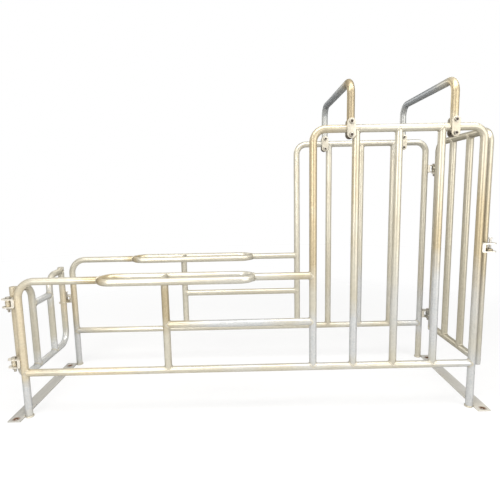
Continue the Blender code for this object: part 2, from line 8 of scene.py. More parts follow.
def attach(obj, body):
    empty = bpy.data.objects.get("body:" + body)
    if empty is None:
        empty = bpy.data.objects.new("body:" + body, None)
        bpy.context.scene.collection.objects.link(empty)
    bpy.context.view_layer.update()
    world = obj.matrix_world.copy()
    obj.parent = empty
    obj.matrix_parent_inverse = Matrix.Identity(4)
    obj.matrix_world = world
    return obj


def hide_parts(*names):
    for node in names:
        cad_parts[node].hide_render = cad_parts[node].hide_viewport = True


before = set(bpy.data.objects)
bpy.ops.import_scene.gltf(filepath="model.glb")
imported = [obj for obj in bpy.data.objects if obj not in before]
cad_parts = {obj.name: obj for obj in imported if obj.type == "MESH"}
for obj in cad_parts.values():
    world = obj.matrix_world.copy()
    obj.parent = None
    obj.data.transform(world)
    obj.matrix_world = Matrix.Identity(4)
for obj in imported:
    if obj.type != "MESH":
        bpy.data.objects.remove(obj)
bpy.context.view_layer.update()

# Sizes of the stall, in metres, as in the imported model
LEG_SPACING = 2.100
PANEL_SPACING = 0.600
UPRIGHT_FROM_REAR_LEG = 0.672
POST_FROM_REAR_LEG = 1.350
LOWER_RAIL_HEIGHT = 0.219
MID_RAIL_HEIGHT = 0.439
LOW_RAIL_HEIGHT = 0.655
TOP_RAIL_HEIGHT = 1.302
HEAD_BAR_COUNT = 3
TUBE_RADIUS = 0.01685
TUBE_WALL = 0.0026
OPEN_END_DEPTH = 0.040
STRUT_RADIUS = 0.01345
LOW_BEND_RADIUS = 0.080
TALL_BEND_RADIUS = 0.055
ARCH_BEND_RADIUS = 0.060
LOOP_FROM_REAR_LEG = 0.383
LOOP_LENGTH = 0.690
LOOP_WIDTH = 0.120
FLOOR_BAR_WIDTH = 0.060
FLOOR_BAR_THICKNESS = 0.006
FLOOR_BAR_NEAR_OVERHANG = 0.050
FLOOR_BAR_FAR_OVERHANG = 0.010
FLOOR_BAR_HOLE_RADIUS = 0.007
FLOOR_BAR_HOLE_OFFSET = 0.030
ARCH_ABOVE_RAIL = 0.203
ARCH_BEFORE_FIRST_BAR = 0.025
ARCH_AFTER_LAST_BAR = 0.0505
SEAT_GAP = 0.0003

# Clamps, forks, lugs and pins
CLAMP_WIDTH = 0.037
CLAMP_THICKNESS = 0.005
CLAMP_BOLT_FROM_RAIL = 0.028
CLAMP_EDGE = 0.015
CLAMP_BOLT_RADIUS = 0.005
FORK_GAP = 0.032
FORK_PLATE = 0.005
FORK_WIDTH = 0.040
FORK_TIP = 0.027
FORK_WRAP = 0.009
PIN_RADIUS = 0.006
LUG_THICKNESS = 0.006
LUG_STILE_RADIUS = 0.024
LUG_EYE_RADIUS = 0.013
EYE_RADIUS = 0.012
EYE_LENGTH = 0.031
LATCH_LUG_LIFT = 0.003
DROP_PIN_RADIUS = 0.006
DROP_PIN_HEAD = 0.010
DROP_PIN_HEAD_HEIGHT = 0.005
DROP_PIN_TRAVEL = 0.019
DROP_PIN_CLEARANCE = 0.001
HOLE_CLEARANCE = 0.0006

# Each bolt is its radius, its head's radius and height, its nut's height and its tail.
CLAMP_BOLT = (CLAMP_BOLT_RADIUS, 0.0098, 0.0064, 0.008, 0.006)
HINGE_BOLT = (PIN_RADIUS, 0.011, 0.0075, 0.010, 0.012)

# Gates
STILE_FROM_PIN = 0.050
REAR_PIN_FROM_LEG = 0.045
REAR_GATE_BOTTOM = 0.170
REAR_GATE_STILE_BELOW_RAIL = 0.033
REAR_GATE_BAR_BELOW_RAIL = 0.055
REAR_GATE_BAR_FROM_STILE = 0.155
REAR_GATE_CROSSBAR_BELOW_RAIL = 0.158
REAR_GATE_CORNER_RADIUS = 0.070
REAR_LOWER_HINGE_HEIGHT = 0.271
REAR_UPPER_HINGE_BELOW_RAIL = 0.097
REAR_LATCH_HEIGHT = 0.420
FRONT_PIN_FROM_LEG = 0.053
FRONT_GATE_BOTTOM = 0.213
FRONT_GATE_STILE_END = 0.192
FRONT_GATE_BELOW_RAIL = 0.009
FRONT_GATE_BAR_COUNT = 2
FRONT_LOWER_HINGE_HEIGHT = 0.280
FRONT_UPPER_HINGE_BELOW_RAIL = 0.152
FRONT_LATCH_HEIGHT = 0.768

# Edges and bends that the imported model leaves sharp
EDGE_ROUNDING = 0.0008
FLOOR_BAR_ROUNDING = 0.0006
CLAMP_ROUNDING = 0.0007
FORK_ROUNDING = 0.0006
FORK_OUTER_BEND = 0.008
FORK_INNER_BEND = 0.003
EYE_CHAMFER = 0.0009

# Fineness of the meshes
TUBE_SIDES = 40
ROUND_SIDES = 32
SMALL_SIDES = 24
FINE_SIDES = 48
HALF_ROUND_STEPS = 24
LUG_ROUND_STEPS = 36
LUG_TIP_STEPS = 18
OUTER_BEND_STEPS = 6
INNER_BEND_STEPS = 4
FLOOR_SIDES = 96
ROUNDING_STEPS = 2
ARC_STEP = math.radians(5)
SHARP_ANGLE = math.radians(35)
SOFTENED_ANGLE = math.radians(50)
SAME_POINT = 0.0003
DOUBLED_POINT = 0.00001

# Fasteners. A profile is pairs of a share of the radius and a height in metres.
WASHER_REACH = 1.12
WASHER_THICKNESS = 0.0012
WASHER_PROFILE = ((0.97, 0.0), (1.0, 0.0004), (1.0, 0.0009), (0.97, WASHER_THICKNESS))
# Painted shade: this profile is a thin near-black disc on a bolt's head, standing for the shade in a
# dished recess
SHADE_DISC_PROFILE = ((0.62, -0.0005), (0.62, 0.0001), (0.558, 0.0002))
BOLT_POINT = 0.0013
POINT_PROFILE = ((0.78, 0.0), (0.93, BOLT_POINT))
OVERLAP = 0.0001
HEXAGON_ROUND = 0.96
CHAMFER_SLOPE = math.tan(math.radians(30))
THREAD_PITCH = 0.0015
THREAD_STEPS = 6
THREAD_DEPTH = 0.09
DROP_PIN_TIP_PROFILE = ((0.70, 0.0), (0.95, 0.0022), (1.0, 0.0032))
DROP_PIN_RIM_PROFILE = ((0.95, 0.0), (1.0, 0.0006))
CROWN_START = 0.0020
CROWN_DRAW_IN = 0.32
CROWN_STEPS = 6

# How the bolts are turned about their axes, in radians
HINGE_BOLT_TURN = 0.2
NUT_TURN = 0.4
TURN_PER_METRE = 0.5

# Each bolt of a clamp is its name, its height from the rail and its turn.
CLAMP_BOLTS = (("upper", CLAMP_BOLT_FROM_RAIL, 1.2), ("lower", -CLAMP_BOLT_FROM_RAIL, 0.3))

# Weld beads. Shares are of the bead's radius.
BEAD_RADIUS = 0.0027
BEAD_SIDES = 8
BEAD_SEAT = 0.25
BEAD_RIPPLE = 0.0042
RIPPLE_STEPS = 5
RIPPLE_SHARE = 0.13
LUMP_SHARE = 0.16
LUMP_SCALE = 160.0
THIN_END = 0.35
TAPERED_PART = 6

# Each part weld is its bead's radius, its distance off the tube, its half angle in degrees and its steps.
FLOOR_BAR_WELD = (0.0032, 0.0010, 52, 30)
FOOT_WELD = (0.0036, 0.0008, 118, 60)
FORK_WELD = (0.0025, 0.0004, 58, 48)
FOOT_WELD_LIFT = 1.3
WELD_INSET = 0.0005

# Each round weld is its bead's radius, its distance off what it goes round and its steps.
LUG_WELD = (0.0024, 0.0008, 120)
EYE_WELD = (0.0017, 0.0004, 80)

# Worked out from the sizes above
REAR_LEG_X = FLOOR_BAR_WIDTH / 2 + SEAT_GAP + TUBE_RADIUS
FRONT_LEG_X = REAR_LEG_X + LEG_SPACING
POST_X = REAR_LEG_X + POST_FROM_REAR_LEG
UPRIGHT_X = REAR_LEG_X + UPRIGHT_FROM_REAR_LEG
LOOP_START = REAR_LEG_X + LOOP_FROM_REAR_LEG
LOOP_END = LOOP_START + LOOP_LENGTH
HEAD_BAR_SPACING = (FRONT_LEG_X - POST_X) / (HEAD_BAR_COUNT + 1)
HEAD_BAR_XS = tuple(POST_X + HEAD_BAR_SPACING * number for number in range(1, HEAD_BAR_COUNT + 1))
ARCH_XS = (HEAD_BAR_XS[0] - ARCH_BEFORE_FIRST_BAR, HEAD_BAR_XS[-1] + ARCH_AFTER_LAST_BAR)
REAR_BAR_X = 0.0
FRONT_BAR_X = FRONT_LEG_X + TUBE_RADIUS + SEAT_GAP + FLOOR_BAR_WIDTH / 2
REAR_GATE_X = REAR_LEG_X - REAR_PIN_FROM_LEG
FRONT_GATE_X = FRONT_LEG_X + FRONT_PIN_FROM_LEG
HALF_SPACING = PANEL_SPACING / 2
ARCH_HEIGHT = TOP_RAIL_HEIGHT + ARCH_ABOVE_RAIL
CLAMP_GAP = TUBE_RADIUS + SEAT_GAP
REAR_GATE_STILE_TOP = LOW_RAIL_HEIGHT - REAR_GATE_STILE_BELOW_RAIL
REAR_GATE_BAR_TOP = LOW_RAIL_HEIGHT - REAR_GATE_BAR_BELOW_RAIL
REAR_GATE_CROSSBAR_HEIGHT = LOW_RAIL_HEIGHT - REAR_GATE_CROSSBAR_BELOW_RAIL
REAR_HINGE_HEIGHTS = (REAR_LOWER_HINGE_HEIGHT, LOW_RAIL_HEIGHT - REAR_UPPER_HINGE_BELOW_RAIL)
FRONT_GATE_TOP = TOP_RAIL_HEIGHT - FRONT_GATE_BELOW_RAIL
FRONT_HINGE_HEIGHTS = (FRONT_LOWER_HINGE_HEIGHT, TOP_RAIL_HEIGHT - FRONT_UPPER_HINGE_BELOW_RAIL)
FORK_TOP = FORK_GAP / 2 + FORK_PLATE
GATE_SPAN = PANEL_SPACING - 2 * STILE_FROM_PIN

X_AXIS = Vector((1, 0, 0))
Y_AXIS = Vector((0, 1, 0))
Z_AXIS = Vector((0, 0, 1))
MOVING_BODIES = ("rear_gate", "front_gate", "rear_drop_pin", "front_drop_pin")

# Colours
CREAM = (0.515, 0.487, 0.405)
TAN_SHADE = (0.89, 0.85, 0.78)
GOLD = (0.445, 0.375, 0.247)
OCHRE = (0.39, 0.323, 0.21)
PALE_GOLD = (0.60, 0.53, 0.395)
PALE_OCHRE = (0.54, 0.465, 0.33)
BRONZE = (0.36, 0.30, 0.20)
DARK_BRONZE = (0.30, 0.25, 0.165)
TAN = (0.46, 0.43, 0.35)
DARK_TAN = (0.42, 0.385, 0.30)
# Painted reflection: blue-grey tones of a dark sky, for the tops of the arches
COOL_REFLECTION = (0.38, 0.39, 0.39)
DARK_COOL_REFLECTION = (0.26, 0.28, 0.30)
WHITE_ZINC = (0.54, 0.54, 0.53)
BLUE_ZINC = (0.47, 0.485, 0.49)
DULL = (0.64, 0.64, 0.62)
PALE_COOL = (0.48, 0.49, 0.49)
BAR_GREY = (0.61, 0.60, 0.565)
DULL_BAR = (0.45, 0.44, 0.41)
DARK_BAR = (0.41, 0.40, 0.37)
RUST = (0.22, 0.13, 0.08)
DARK_RUST = (0.10, 0.06, 0.04)
CLAMP_GREY = (0.52, 0.485, 0.405)
# Painted shade: a darker copy of the clamp grey, for the plates turned away from the front
SHADED_CLAMP_GREY = (0.36, 0.335, 0.28)
# Painted shade: near black, for the crevice low between a turned-away clamp plate and the rail
CREVICE_SHADE = (0.07, 0.06, 0.05)
PALE_CREVICE_SHADE = (0.13, 0.11, 0.09)
FORK_WHITE = (0.68, 0.65, 0.58)
WELD_GREY = (0.52, 0.49, 0.41)
BOLT_GREY = (0.44, 0.41, 0.35)
# Painted shade: near black, for the dished recess of a bolt's head, its thread and its point
RECESS_SHADE_BLACK = (0.07, 0.055, 0.045)
PIN_WHITE = (0.60, 0.57, 0.52)
EDGE_TINT = (0.05, 0.05, 0.05)
FLOOR_WHITE = (0.98, 0.98, 0.98)
LAMP_WHITE = (1.0, 0.985, 0.96)

# Where the stains, the painted shade and the painted reflection lie, chosen from the photograph. Each
# place is X, Y, Z and a radius, in metres.
NEAR, FAR = -HALF_SPACING, HALF_SPACING
ACROSS_GATE = (-0.18, -0.06, 0.06, 0.18)
GOLDEN_PLACES = (
    (POST_X, NEAR, 1.10, 0.30),
    (POST_X, NEAR, 0.80, 0.22),
    (UPRIGHT_X, NEAR, 0.53, 0.13),
    (LOOP_START, NEAR, LOW_RAIL_HEIGHT, 0.10),
    (LOOP_START, FAR, LOW_RAIL_HEIGHT, 0.08),
    (FRONT_LEG_X, NEAR, 0.80, 0.38),
    (ARCH_XS[1], NEAR, 1.43, 0.12),
)
PALE_GOLDEN_PLACES = (
    (REAR_LEG_X, NEAR, 0.50, 0.20),
    (REAR_LEG_X, NEAR, 0.30, 0.12),
    (REAR_LEG_X, FAR, 0.42, 0.15),
    (0.40, NEAR, LOWER_RAIL_HEIGHT, 0.20),
)
# Painted reflection: a blue-grey reflection of a dark sky painted round the top of each arch
SKY_REFLECTION_PLACES = tuple((x, 0.08, ARCH_HEIGHT, 0.36) for x in ARCH_XS)
BRONZE_PLACES = ((ARCH_XS[0], NEAR, 1.38, 0.10), (ARCH_XS[0], NEAR, 1.47, 0.11))
TAN_PLACES = (
    *((FRONT_GATE_X, y, FRONT_GATE_TOP + 0.02, 0.13) for y in ACROSS_GATE),
    *((FRONT_GATE_X, 0.0, z, 0.34) for z in (0.40, 0.70, 1.00)),
)
BLUISH_PLACES = (
    (REAR_LEG_X, NEAR, 0.10, 0.12),
    (REAR_LEG_X, FAR, 0.12, 0.15),
    (1.05, NEAR, MID_RAIL_HEIGHT, 0.26),
    (POST_X, NEAR, 0.34, 0.16),
    (HEAD_BAR_XS[0], NEAR, 0.36, 0.18),
    (HEAD_BAR_XS[1], FAR, 0.40, 0.22),
    (HEAD_BAR_XS[2], NEAR, 0.48, 0.30),
    (FRONT_LEG_X, NEAR, 0.10, 0.24),
    (FRONT_LEG_X, FAR, 0.30, 0.20),
)
DULL_PLACES = (
    (REAR_GATE_X, 0.0, REAR_GATE_CROSSBAR_HEIGHT, 0.12),
    *((REAR_GATE_X, y, REAR_GATE_BOTTOM - 0.01, 0.12) for y in ACROSS_GATE),
)
DULL_BAR_PLACES = tuple((REAR_BAR_X, y, 0.0, 0.16) for y in (-0.30, -0.15, 0.0, 0.15, 0.30))
RUSTY_PLACES = tuple(
    (x, y - FLOOR_BAR_HOLE_OFFSET, FLOOR_BAR_THICKNESS / 2, 3.0 * FLOOR_BAR_HOLE_RADIUS)
    for x in (REAR_BAR_X, FRONT_BAR_X) for y in (NEAR, FAR)
)
# Painted shade: a dark spot low in the crevice beside each turned-away clamp plate
CREVICE_SHADE_PLACES = tuple(
    (x, y + 0.02, TOP_RAIL_HEIGHT - CLAMP_BOLT_FROM_RAIL - CLAMP_EDGE, 0.030)
    for x in ARCH_XS for y in (NEAR, FAR)
)

# Each mark is its places, how far its edge wanders in metres, and its two colours; most are stains, and
# the ones noted are painted shade and painted reflection. A later one covers.
TUBE_STAINS_AND_REFLECTIONS = (
    (GOLDEN_PLACES, 0.10, GOLD, OCHRE),
    (PALE_GOLDEN_PLACES, 0.10, PALE_GOLD, PALE_OCHRE),
    (SKY_REFLECTION_PLACES, 0.10, COOL_REFLECTION, DARK_COOL_REFLECTION),
    (DULL_PLACES, 0.10, DULL, PALE_COOL),
    (BLUISH_PLACES, 0.10, WHITE_ZINC, BLUE_ZINC),
    (TAN_PLACES, 0.10, TAN, DARK_TAN),
    (BRONZE_PLACES, 0.03, BRONZE, DARK_BRONZE),
)
BAR_STAINS = (
    (DULL_BAR_PLACES, 0.03, DULL_BAR, DARK_BAR),
    (RUSTY_PLACES, 0.01, RUST, DARK_RUST),
)
CLAMP_CREVICE_SHADE = ((CREVICE_SHADE_PLACES, 0.01, CREVICE_SHADE, PALE_CREVICE_SHADE),)

# Each noise is its scale per metre, its detail and its roughness.
DRIFT = (4.0, 2.0, 0.45)
WANDER = (14.0, 2.0, 0.5)
MOTTLE = (170.0, 3.0, 0.6)
RUNS = (55.0, 2.0, 0.5)
GRAIN = (420.0, 3.0, 0.6)
CLOUD = (160.0, 3.0, 0.6)
MACHINED_GRAIN = (900.0, 2.0, 0.5)

# Each bump is its strength and its height in metres.
RUNS_BUMP = (0.14, 0.0010)
GRAIN_BUMP = (0.12, 0.0002)
MACHINED_BUMP = (0.12, 0.0001)

# Spans of a noise, and what they become
FULL = (0.0, 1.0)
DRIFT_SPAN = (0.45, 0.75)
DRIFT_SHARE = (0.0, 0.8)
MOTTLE_SPAN = (0.42, 0.62)
CRYSTAL_GREYS = (0.955, 1.035)
WORN_SPAN = (0.40, 0.65)
ROUGHNESS_SPAN = (0.3, 0.7)

# Other values of the finishes
ZINC_ROUGHNESS_RANGE = (-0.03, 0.04)
FASTENER_ROUGHNESS_RANGE = (-0.08, 0.10)
ZINC_EDGE_GLOSS = 0.05
FASTENER_METALLIC = 0.85
WORN_SHADE = 0.62
STAIN_AND_PAINTED_LIGHT_CORE = 0.45

# Colour sockets of a Mix node
MIX_COLOURS = (6, 7)
MIX_RESULT = 2


# Materials


def material(name):
    """A material with its node tree, its shader and its object coordinates."""
    made = bpy.data.materials.new(name)
    made.use_nodes = True
    tree = made.node_tree
    shader = tree.nodes["Principled BSDF"]
    place = tree.nodes.new("ShaderNodeTexCoord").outputs["Object"]
    return made, tree, shader, place


def fill(tree, node, inputs):
    """Gives each input of a node its number, or its colour, or its link from another node."""
    for socket, value in inputs.items():
        if isinstance(value, bpy.types.NodeSocket):
            tree.links.new(value, node.inputs[socket])
        else:
            node.inputs[socket].default_value = value


def add_node(tree, kind, inputs, output, operation=None):
    """The output of a new node."""
    node = tree.nodes.new(kind)
    if operation:
        node.operation = operation
    fill(tree, node, inputs)
    return node.outputs[output]


def noise_node(tree, place, settings, output="Fac"):
    """Noise of the given scale, detail and roughness."""
    scale, detail, roughness = settings
    inputs = {"Vector": place, "Scale": scale, "Detail": detail, "Roughness": roughness}
    return add_node(tree, "ShaderNodeTexNoise", inputs, output)


def spangle_node(tree, place, scale):
    """One random grey for each zinc crystal."""
    inputs = {"Vector": place, "Scale": scale, "Randomness": 1.0}
    crystal = add_node(tree, "ShaderNodeTexVoronoi", inputs, "Color")
    return add_node(tree, "ShaderNodeSeparateColor", {"Color": crystal}, "Red")


def spread(tree, value, span, result):
    """Maps a value from one span onto another, held at both ends."""
    (low, high), (to_low, to_high) = span, result
    inputs = {"Value": value, "From Min": low, "From Max": high, "To Min": to_low, "To Max": to_high}
    return add_node(tree, "ShaderNodeMapRange", inputs, "Result")


def larger(tree, first, second):
    """The larger of two values."""
    return add_node(tree, "ShaderNodeMath", {0: first, 1: second}, 0, "MAXIMUM")


def distance_from(tree, place, point):
    """How far a place is from a fixed point."""
    return add_node(tree, "ShaderNodeVectorMath", {0: place, 1: point}, "Value", "DISTANCE")


def mix(tree, blend, factor, first, second):
    """Mixes two colours, each a socket or three numbers."""
    node = tree.nodes.new("ShaderNodeMix")
    node.data_type = "RGBA"
    node.blend_type = blend
    inputs = {"Factor": factor}
    for socket, colour in zip(MIX_COLOURS, (first, second)):
        inputs[socket] = (*colour, 1.0) if isinstance(colour, tuple) else colour
    fill(tree, node, inputs)
    return node.outputs[MIX_RESULT]


def bump(tree, height, strength, distance, normal=None):
    """The normal of a surface raised by the height, on top of another normal if given."""
    inputs = {"Height": height, "Strength": strength, "Distance": distance}
    if normal:
        inputs["Normal"] = normal
    return add_node(tree, "ShaderNodeBump", inputs, "Normal")


def near_places(tree, place, places, ragged):
    """1 near each listed place, falling softly to 0 with an edge that wanders by the ragged length."""
    wander = {0: noise_node(tree, place, WANDER, "Color"), 1: (ragged, ragged, ragged), 2: place}
    moved = add_node(tree, "ShaderNodeVectorMath", wander, 0, "MULTIPLY_ADD")
    total = None
    for x, y, z, radius in places:
        distance = distance_from(tree, moved, (x + ragged / 2, y + ragged / 2, z + ragged / 2))
        share = spread(tree, distance, (STAIN_AND_PAINTED_LIGHT_CORE * radius, radius), (1.0, 0.0))
        total = larger(tree, total, share) if total else share
    return total


def roughness_of(tree, value, roughness, offsets):
    """Roughness that follows a noise between two offsets from its middle."""
    return spread(tree, value, ROUGHNESS_SPAN, tuple(roughness + offset for offset in offsets))


def zinc(name, bright, metallic, roughness, crystals, stains_and_painted_light=()):
    """Hot-dip zinc: drifting tone, stained stretches with painted shade and painted reflection where such
    marks are given, crystals and a faintly uneven skin.
    """
    made, tree, shader, place = material(name)
    drift = noise_node(tree, place, DRIFT)
    mottle = noise_node(tree, place, MOTTLE)
    darker = tuple(channel * shade for channel, shade in zip(bright, TAN_SHADE))
    colour = mix(tree, "MIX", spread(tree, drift, DRIFT_SPAN, DRIFT_SHARE), bright, darker)
    for places, ragged, first, second in stains_and_painted_light:
        stain_and_painted_light = mix(tree, "MIX", spread(tree, mottle, MOTTLE_SPAN, FULL), first, second)
        colour = mix(tree, "MIX", near_places(tree, place, places, ragged), colour, stain_and_painted_light)

    flicker = spread(tree, spangle_node(tree, place, crystals), FULL, CRYSTAL_GREYS)
    channels = {"Red": flicker, "Green": flicker, "Blue": flicker}
    grey = add_node(tree, "ShaderNodeCombineColor", channels, "Color")
    runs = bump(tree, noise_node(tree, place, RUNS), *RUNS_BUMP)
    fill(tree, shader, {
        "Base Color": mix(tree, "MULTIPLY", 1.0, colour, grey),
        "Metallic": metallic,
        "Roughness": roughness_of(tree, drift, roughness, ZINC_ROUGHNESS_RANGE),
        "Specular IOR Level": ZINC_EDGE_GLOSS,
        "Specular Tint": (*EDGE_TINT, 1.0),
        "Normal": bump(tree, noise_node(tree, place, GRAIN), *GRAIN_BUMP, runs),
    })
    return made


def fastener_zinc(name, colour, roughness):
    """Zinc plating on bolts and pins, with a fine machined grain."""
    made, tree, shader, place = material(name)
    cloud = noise_node(tree, place, CLOUD)
    darker = tuple(WORN_SHADE * channel for channel in colour)
    fill(tree, shader, {
        "Base Color": mix(tree, "MIX", spread(tree, cloud, WORN_SPAN, FULL), colour, darker),
        "Metallic": FASTENER_METALLIC,
        "Roughness": roughness_of(tree, cloud, roughness, FASTENER_ROUGHNESS_RANGE),
        "Normal": bump(tree, noise_node(tree, place, MACHINED_GRAIN), *MACHINED_BUMP),
    })
    return made


TUBE_ZINC = zinc("tube_zinc", CREAM, metallic=0.55, roughness=0.33, crystals=110.0, stains_and_painted_light=TUBE_STAINS_AND_REFLECTIONS)
BAR_ZINC = zinc("bar_zinc", BAR_GREY, metallic=0.40, roughness=0.40, crystals=130.0, stains_and_painted_light=BAR_STAINS)
CLAMP_ZINC = zinc("clamp_zinc", CLAMP_GREY, metallic=0.45, roughness=0.38, crystals=130.0)
# Painted shade: the clamp zinc made darker, for the plates turned away from the front
SHADED_CLAMP_ZINC = zinc(
    "shaded_clamp_zinc", SHADED_CLAMP_GREY, metallic=0.45, roughness=0.42, crystals=130.0, stains_and_painted_light=CLAMP_CREVICE_SHADE,
)
FORK_ZINC = zinc("fork_zinc", FORK_WHITE, metallic=0.60, roughness=0.36, crystals=130.0)
WELD_ZINC = zinc("weld_zinc", WELD_GREY, metallic=0.45, roughness=0.38, crystals=240.0)
BOLT_ZINC = fastener_zinc("bolt_zinc", BOLT_GREY, roughness=0.34)
# Painted shade on the bolts: the disc on the head, the thread and the point take this near-black finish
BOLT_RECESS_SHADE = fastener_zinc("bolt_recess_shade", RECESS_SHADE_BLACK, roughness=0.60)
PIN_ZINC = fastener_zinc("pin_zinc", PIN_WHITE, roughness=0.32)


# Objects and meshes


def put_object(name, data):
    """A new object in the scene."""
    obj = bpy.data.objects.new(name, data)
    bpy.context.scene.collection.objects.link(obj)
    return obj


def mesh_of(name, shell):
    """The shell's mesh. The shell goes."""
    mesh = bpy.data.meshes.new(name)
    shell.to_mesh(mesh)
    shell.free()
    return mesh


def evaluated_mesh(obj):
    """A new mesh of the object with its curve or its modifiers worked out."""
    bpy.context.view_layer.update()
    return bpy.data.meshes.new_from_object(obj.evaluated_get(bpy.context.evaluated_depsgraph_get()))


def piece(node, kind, shell, *materials):
    """Turns a shell into the piece that stands for a node of the frame."""
    name = f"{node}_{kind}"
    bmesh.ops.recalc_face_normals(shell, faces=shell.faces)
    mesh = mesh_of(name, shell)
    for each in materials:
        mesh.materials.append(each)
    mesh.shade_smooth()
    mesh.set_sharp_from_angle(angle=SHARP_ANGLE)
    obj = put_object(name, mesh)
    body = next((moving for moving in MOVING_BODIES if node.startswith(moving)), "stall")
    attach(obj, body)
    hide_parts(node)
    return obj


def skin_rings(shell, rings, closed=False, material=0):
    """Joins rings of points into one skin, with a face at each end unless it closes on itself."""
    loops = [[shell.verts.new(point) for point in points] for points in rings]
    last = len(loops) if closed else len(loops) - 1
    for index in range(last):
        here, there = loops[index], loops[(index + 1) % len(loops)]
        for side in range(len(here)):
            after = (side + 1) % len(here)
            face = shell.faces.new((here[side], here[after], there[after], there[side]))
            face.material_index = material
    if not closed:
        for loop in (loops[0], loops[-1]):
            shell.faces.new(loop).material_index = material


def ring(centre, first, second, radius, sides):
    """Points round a circle in the plane of two directions."""
    points = []
    for side in range(sides):
        angle = 2 * math.pi * side / sides
        points.append(centre + (first * math.cos(angle) + second * math.sin(angle)) * radius)
    return points


def direction_at(points, index, closed):
    """The direction of a line of points at one of them."""
    before = points[index - 1] if closed or index > 0 else points[index]
    after = points[(index + 1) % len(points)] if closed or index < len(points) - 1 else points[index]
    return (after - before).normalized()


def arc(centre_x, centre_y, radius, first, last, steps):
    """Points on an arc in X and Y, angles in degrees from +X."""
    points = []
    for step in range(steps + 1):
        angle = math.radians(first + (last - first) * step / steps)
        points.append((centre_x + radius * math.cos(angle), centre_y + radius * math.sin(angle)))
    return points


def hole(x, y, radius, sides=ROUND_SIDES):
    """The outline of a round hole."""
    return arc(x, y, radius, 0, -360 + 360 / sides, sides - 1)


def rounded(corners, radius, closed=False):
    """The centre line through the corners, each turned on an arc of the radius."""
    corners = [Vector(corner) for corner in corners]
    points = []
    for index, corner in enumerate(corners):
        if not closed and index in (0, len(corners) - 1):
            points.append(corner)
            continue
        before = (corners[index - 1] - corner).normalized()
        after = (corners[(index + 1) % len(corners)] - corner).normalized()
        half_angle = before.angle(after) / 2
        centre = corner + (before + after).normalized() * radius / math.sin(half_angle)
        reach = radius / math.tan(half_angle)
        start = (corner + before * reach - centre).normalized()
        end = (corner + after * reach - centre).normalized()
        steps = max(2, round(start.angle(end) / ARC_STEP))
        for step in range(steps + 1):
            points.append(centre + start.slerp(end, step / steps) * radius)
    kept = [points[0]]
    for point in points[1:]:
        if (point - kept[-1]).length > SAME_POINT:
            kept.append(point)
    if closed and (kept[0] - kept[-1]).length < SAME_POINT:
        kept.pop()
    return kept


# Weld beads


def bead(shell, centres, outwards, radius=BEAD_RADIUS, closed=True):
    """A weld bead along the centres, rippled like laid metal, and thinner at its ends if it has any."""
    rings = []
    last = len(centres) - 1
    travelled = 0.0
    for index, centre in enumerate(centres):
        along = direction_at(centres, index, closed)
        if index:
            travelled += (centre - centres[index - 1]).length
        out = outwards[index]
        out = (out - along * out.dot(along)).normalized()
        ripple = 1.0 + RIPPLE_SHARE * abs(math.sin(math.pi * travelled / BEAD_RIPPLE))
        lump = 1.0 + LUMP_SHARE * noise.noise(centre * LUMP_SCALE)
        taper = 1.0
        if not closed:
            from_end = min(index, last - index) / (len(centres) // TAPERED_PART)
            taper = min(1.0, THIN_END + (1.0 - THIN_END) * from_end)
        rings.append(ring(centre, out, along.cross(out), radius * ripple * lump * taper, BEAD_SIDES))
    skin_rings(shell, rings, closed, material=1)


def saddle_bead(shell, joint, direction, across, radius, reach):
    """The bead where a branch tube meets another tube."""
    normal = across.cross(direction).normalized()
    count = round(2 * math.pi * radius / BEAD_RIPPLE * RIPPLE_STEPS)
    seat = BEAD_RADIUS * BEAD_SEAT
    centres, outwards = [], []
    for offset in ring(Vector((0, 0, 0)), normal, across, radius, count):
        out = offset.normalized()
        centres.append(joint + direction * (reach(offset, direction) + seat) + out * (radius + seat))
        outwards.append(out)
    bead(shell, centres, outwards)


def part_weld(shell, centre, facing, weld, tilt=0.0, limit=None):
    """A bead part of the way round a tube, facing +X or -X, and kept past the limit if given."""
    radius, off, half_angle, steps = weld
    centres, outwards = [], []
    for x, y in arc(0, 0, 1, -half_angle, half_angle, steps):
        out = Vector((facing * x, y, 0))
        place = centre + out * (TUBE_RADIUS + off)
        if limit is not None:
            place.x = facing * max(facing * place.x, facing * limit)
        centres.append(place)
        outwards.append((out + Z_AXIS * tilt).normalized())
    bead(shell, centres, outwards, radius, closed=False)


def round_weld(shell, centre, round_radius, weld):
    """A bead all the way round an upright tube or barrel."""
    radius, off, steps = weld
    centres = ring(centre, X_AXIS, Y_AXIS, round_radius + off, steps)
    bead(shell, centres, [(point - centre).normalized() for point in centres], radius)


# Tubes


def on_tube(axis, radius=TUBE_RADIUS):
    """How far a branch stops from the axis of a straight tube that it meets."""

    def reach(offset, direction):
        side = axis.cross(direction).dot(offset)
        return math.sqrt(max(radius * radius - side * side, 0.0))

    return reach


def on_loop_end(offset, direction):
    """How far a branch stops from the centre line of the rest loop's round end."""
    turn = LOOP_WIDTH / 2
    across = Z_AXIS.cross(direction).dot(offset)
    tube_half = math.sqrt(TUBE_RADIUS**2 - min(offset.z**2, TUBE_RADIUS**2))
    return math.sqrt((turn + tube_half) ** 2 - across * across) - turn


ON_UPRIGHT = on_tube(Z_AXIS)
ON_LONG_RAIL = on_tube(X_AXIS)
ON_CROSS_RAIL = on_tube(Y_AXIS)


def finish_end(rings, end, joint, direction, radius):
    """Ends a tube at its last ring: fitted to another tube, or flat with a soft edge, or open."""
    if callable(end):
        rings[-1] = [point + direction * (end(point - joint, direction) - SEAT_GAP) for point in rings[-1]]
        return
    lip = [joint + (point - joint) * (1 - EDGE_ROUNDING / radius) for point in rings[-1]]
    rings[-1] = [point + direction * EDGE_ROUNDING for point in rings[-1]]
    rings.append(lip)
    if end == "open":
        mouth = [joint + (point - joint) * (1 - TUBE_WALL / radius) for point in lip]
        rings.append(mouth)
        rings.append([point + direction * OPEN_END_DEPTH for point in mouth])


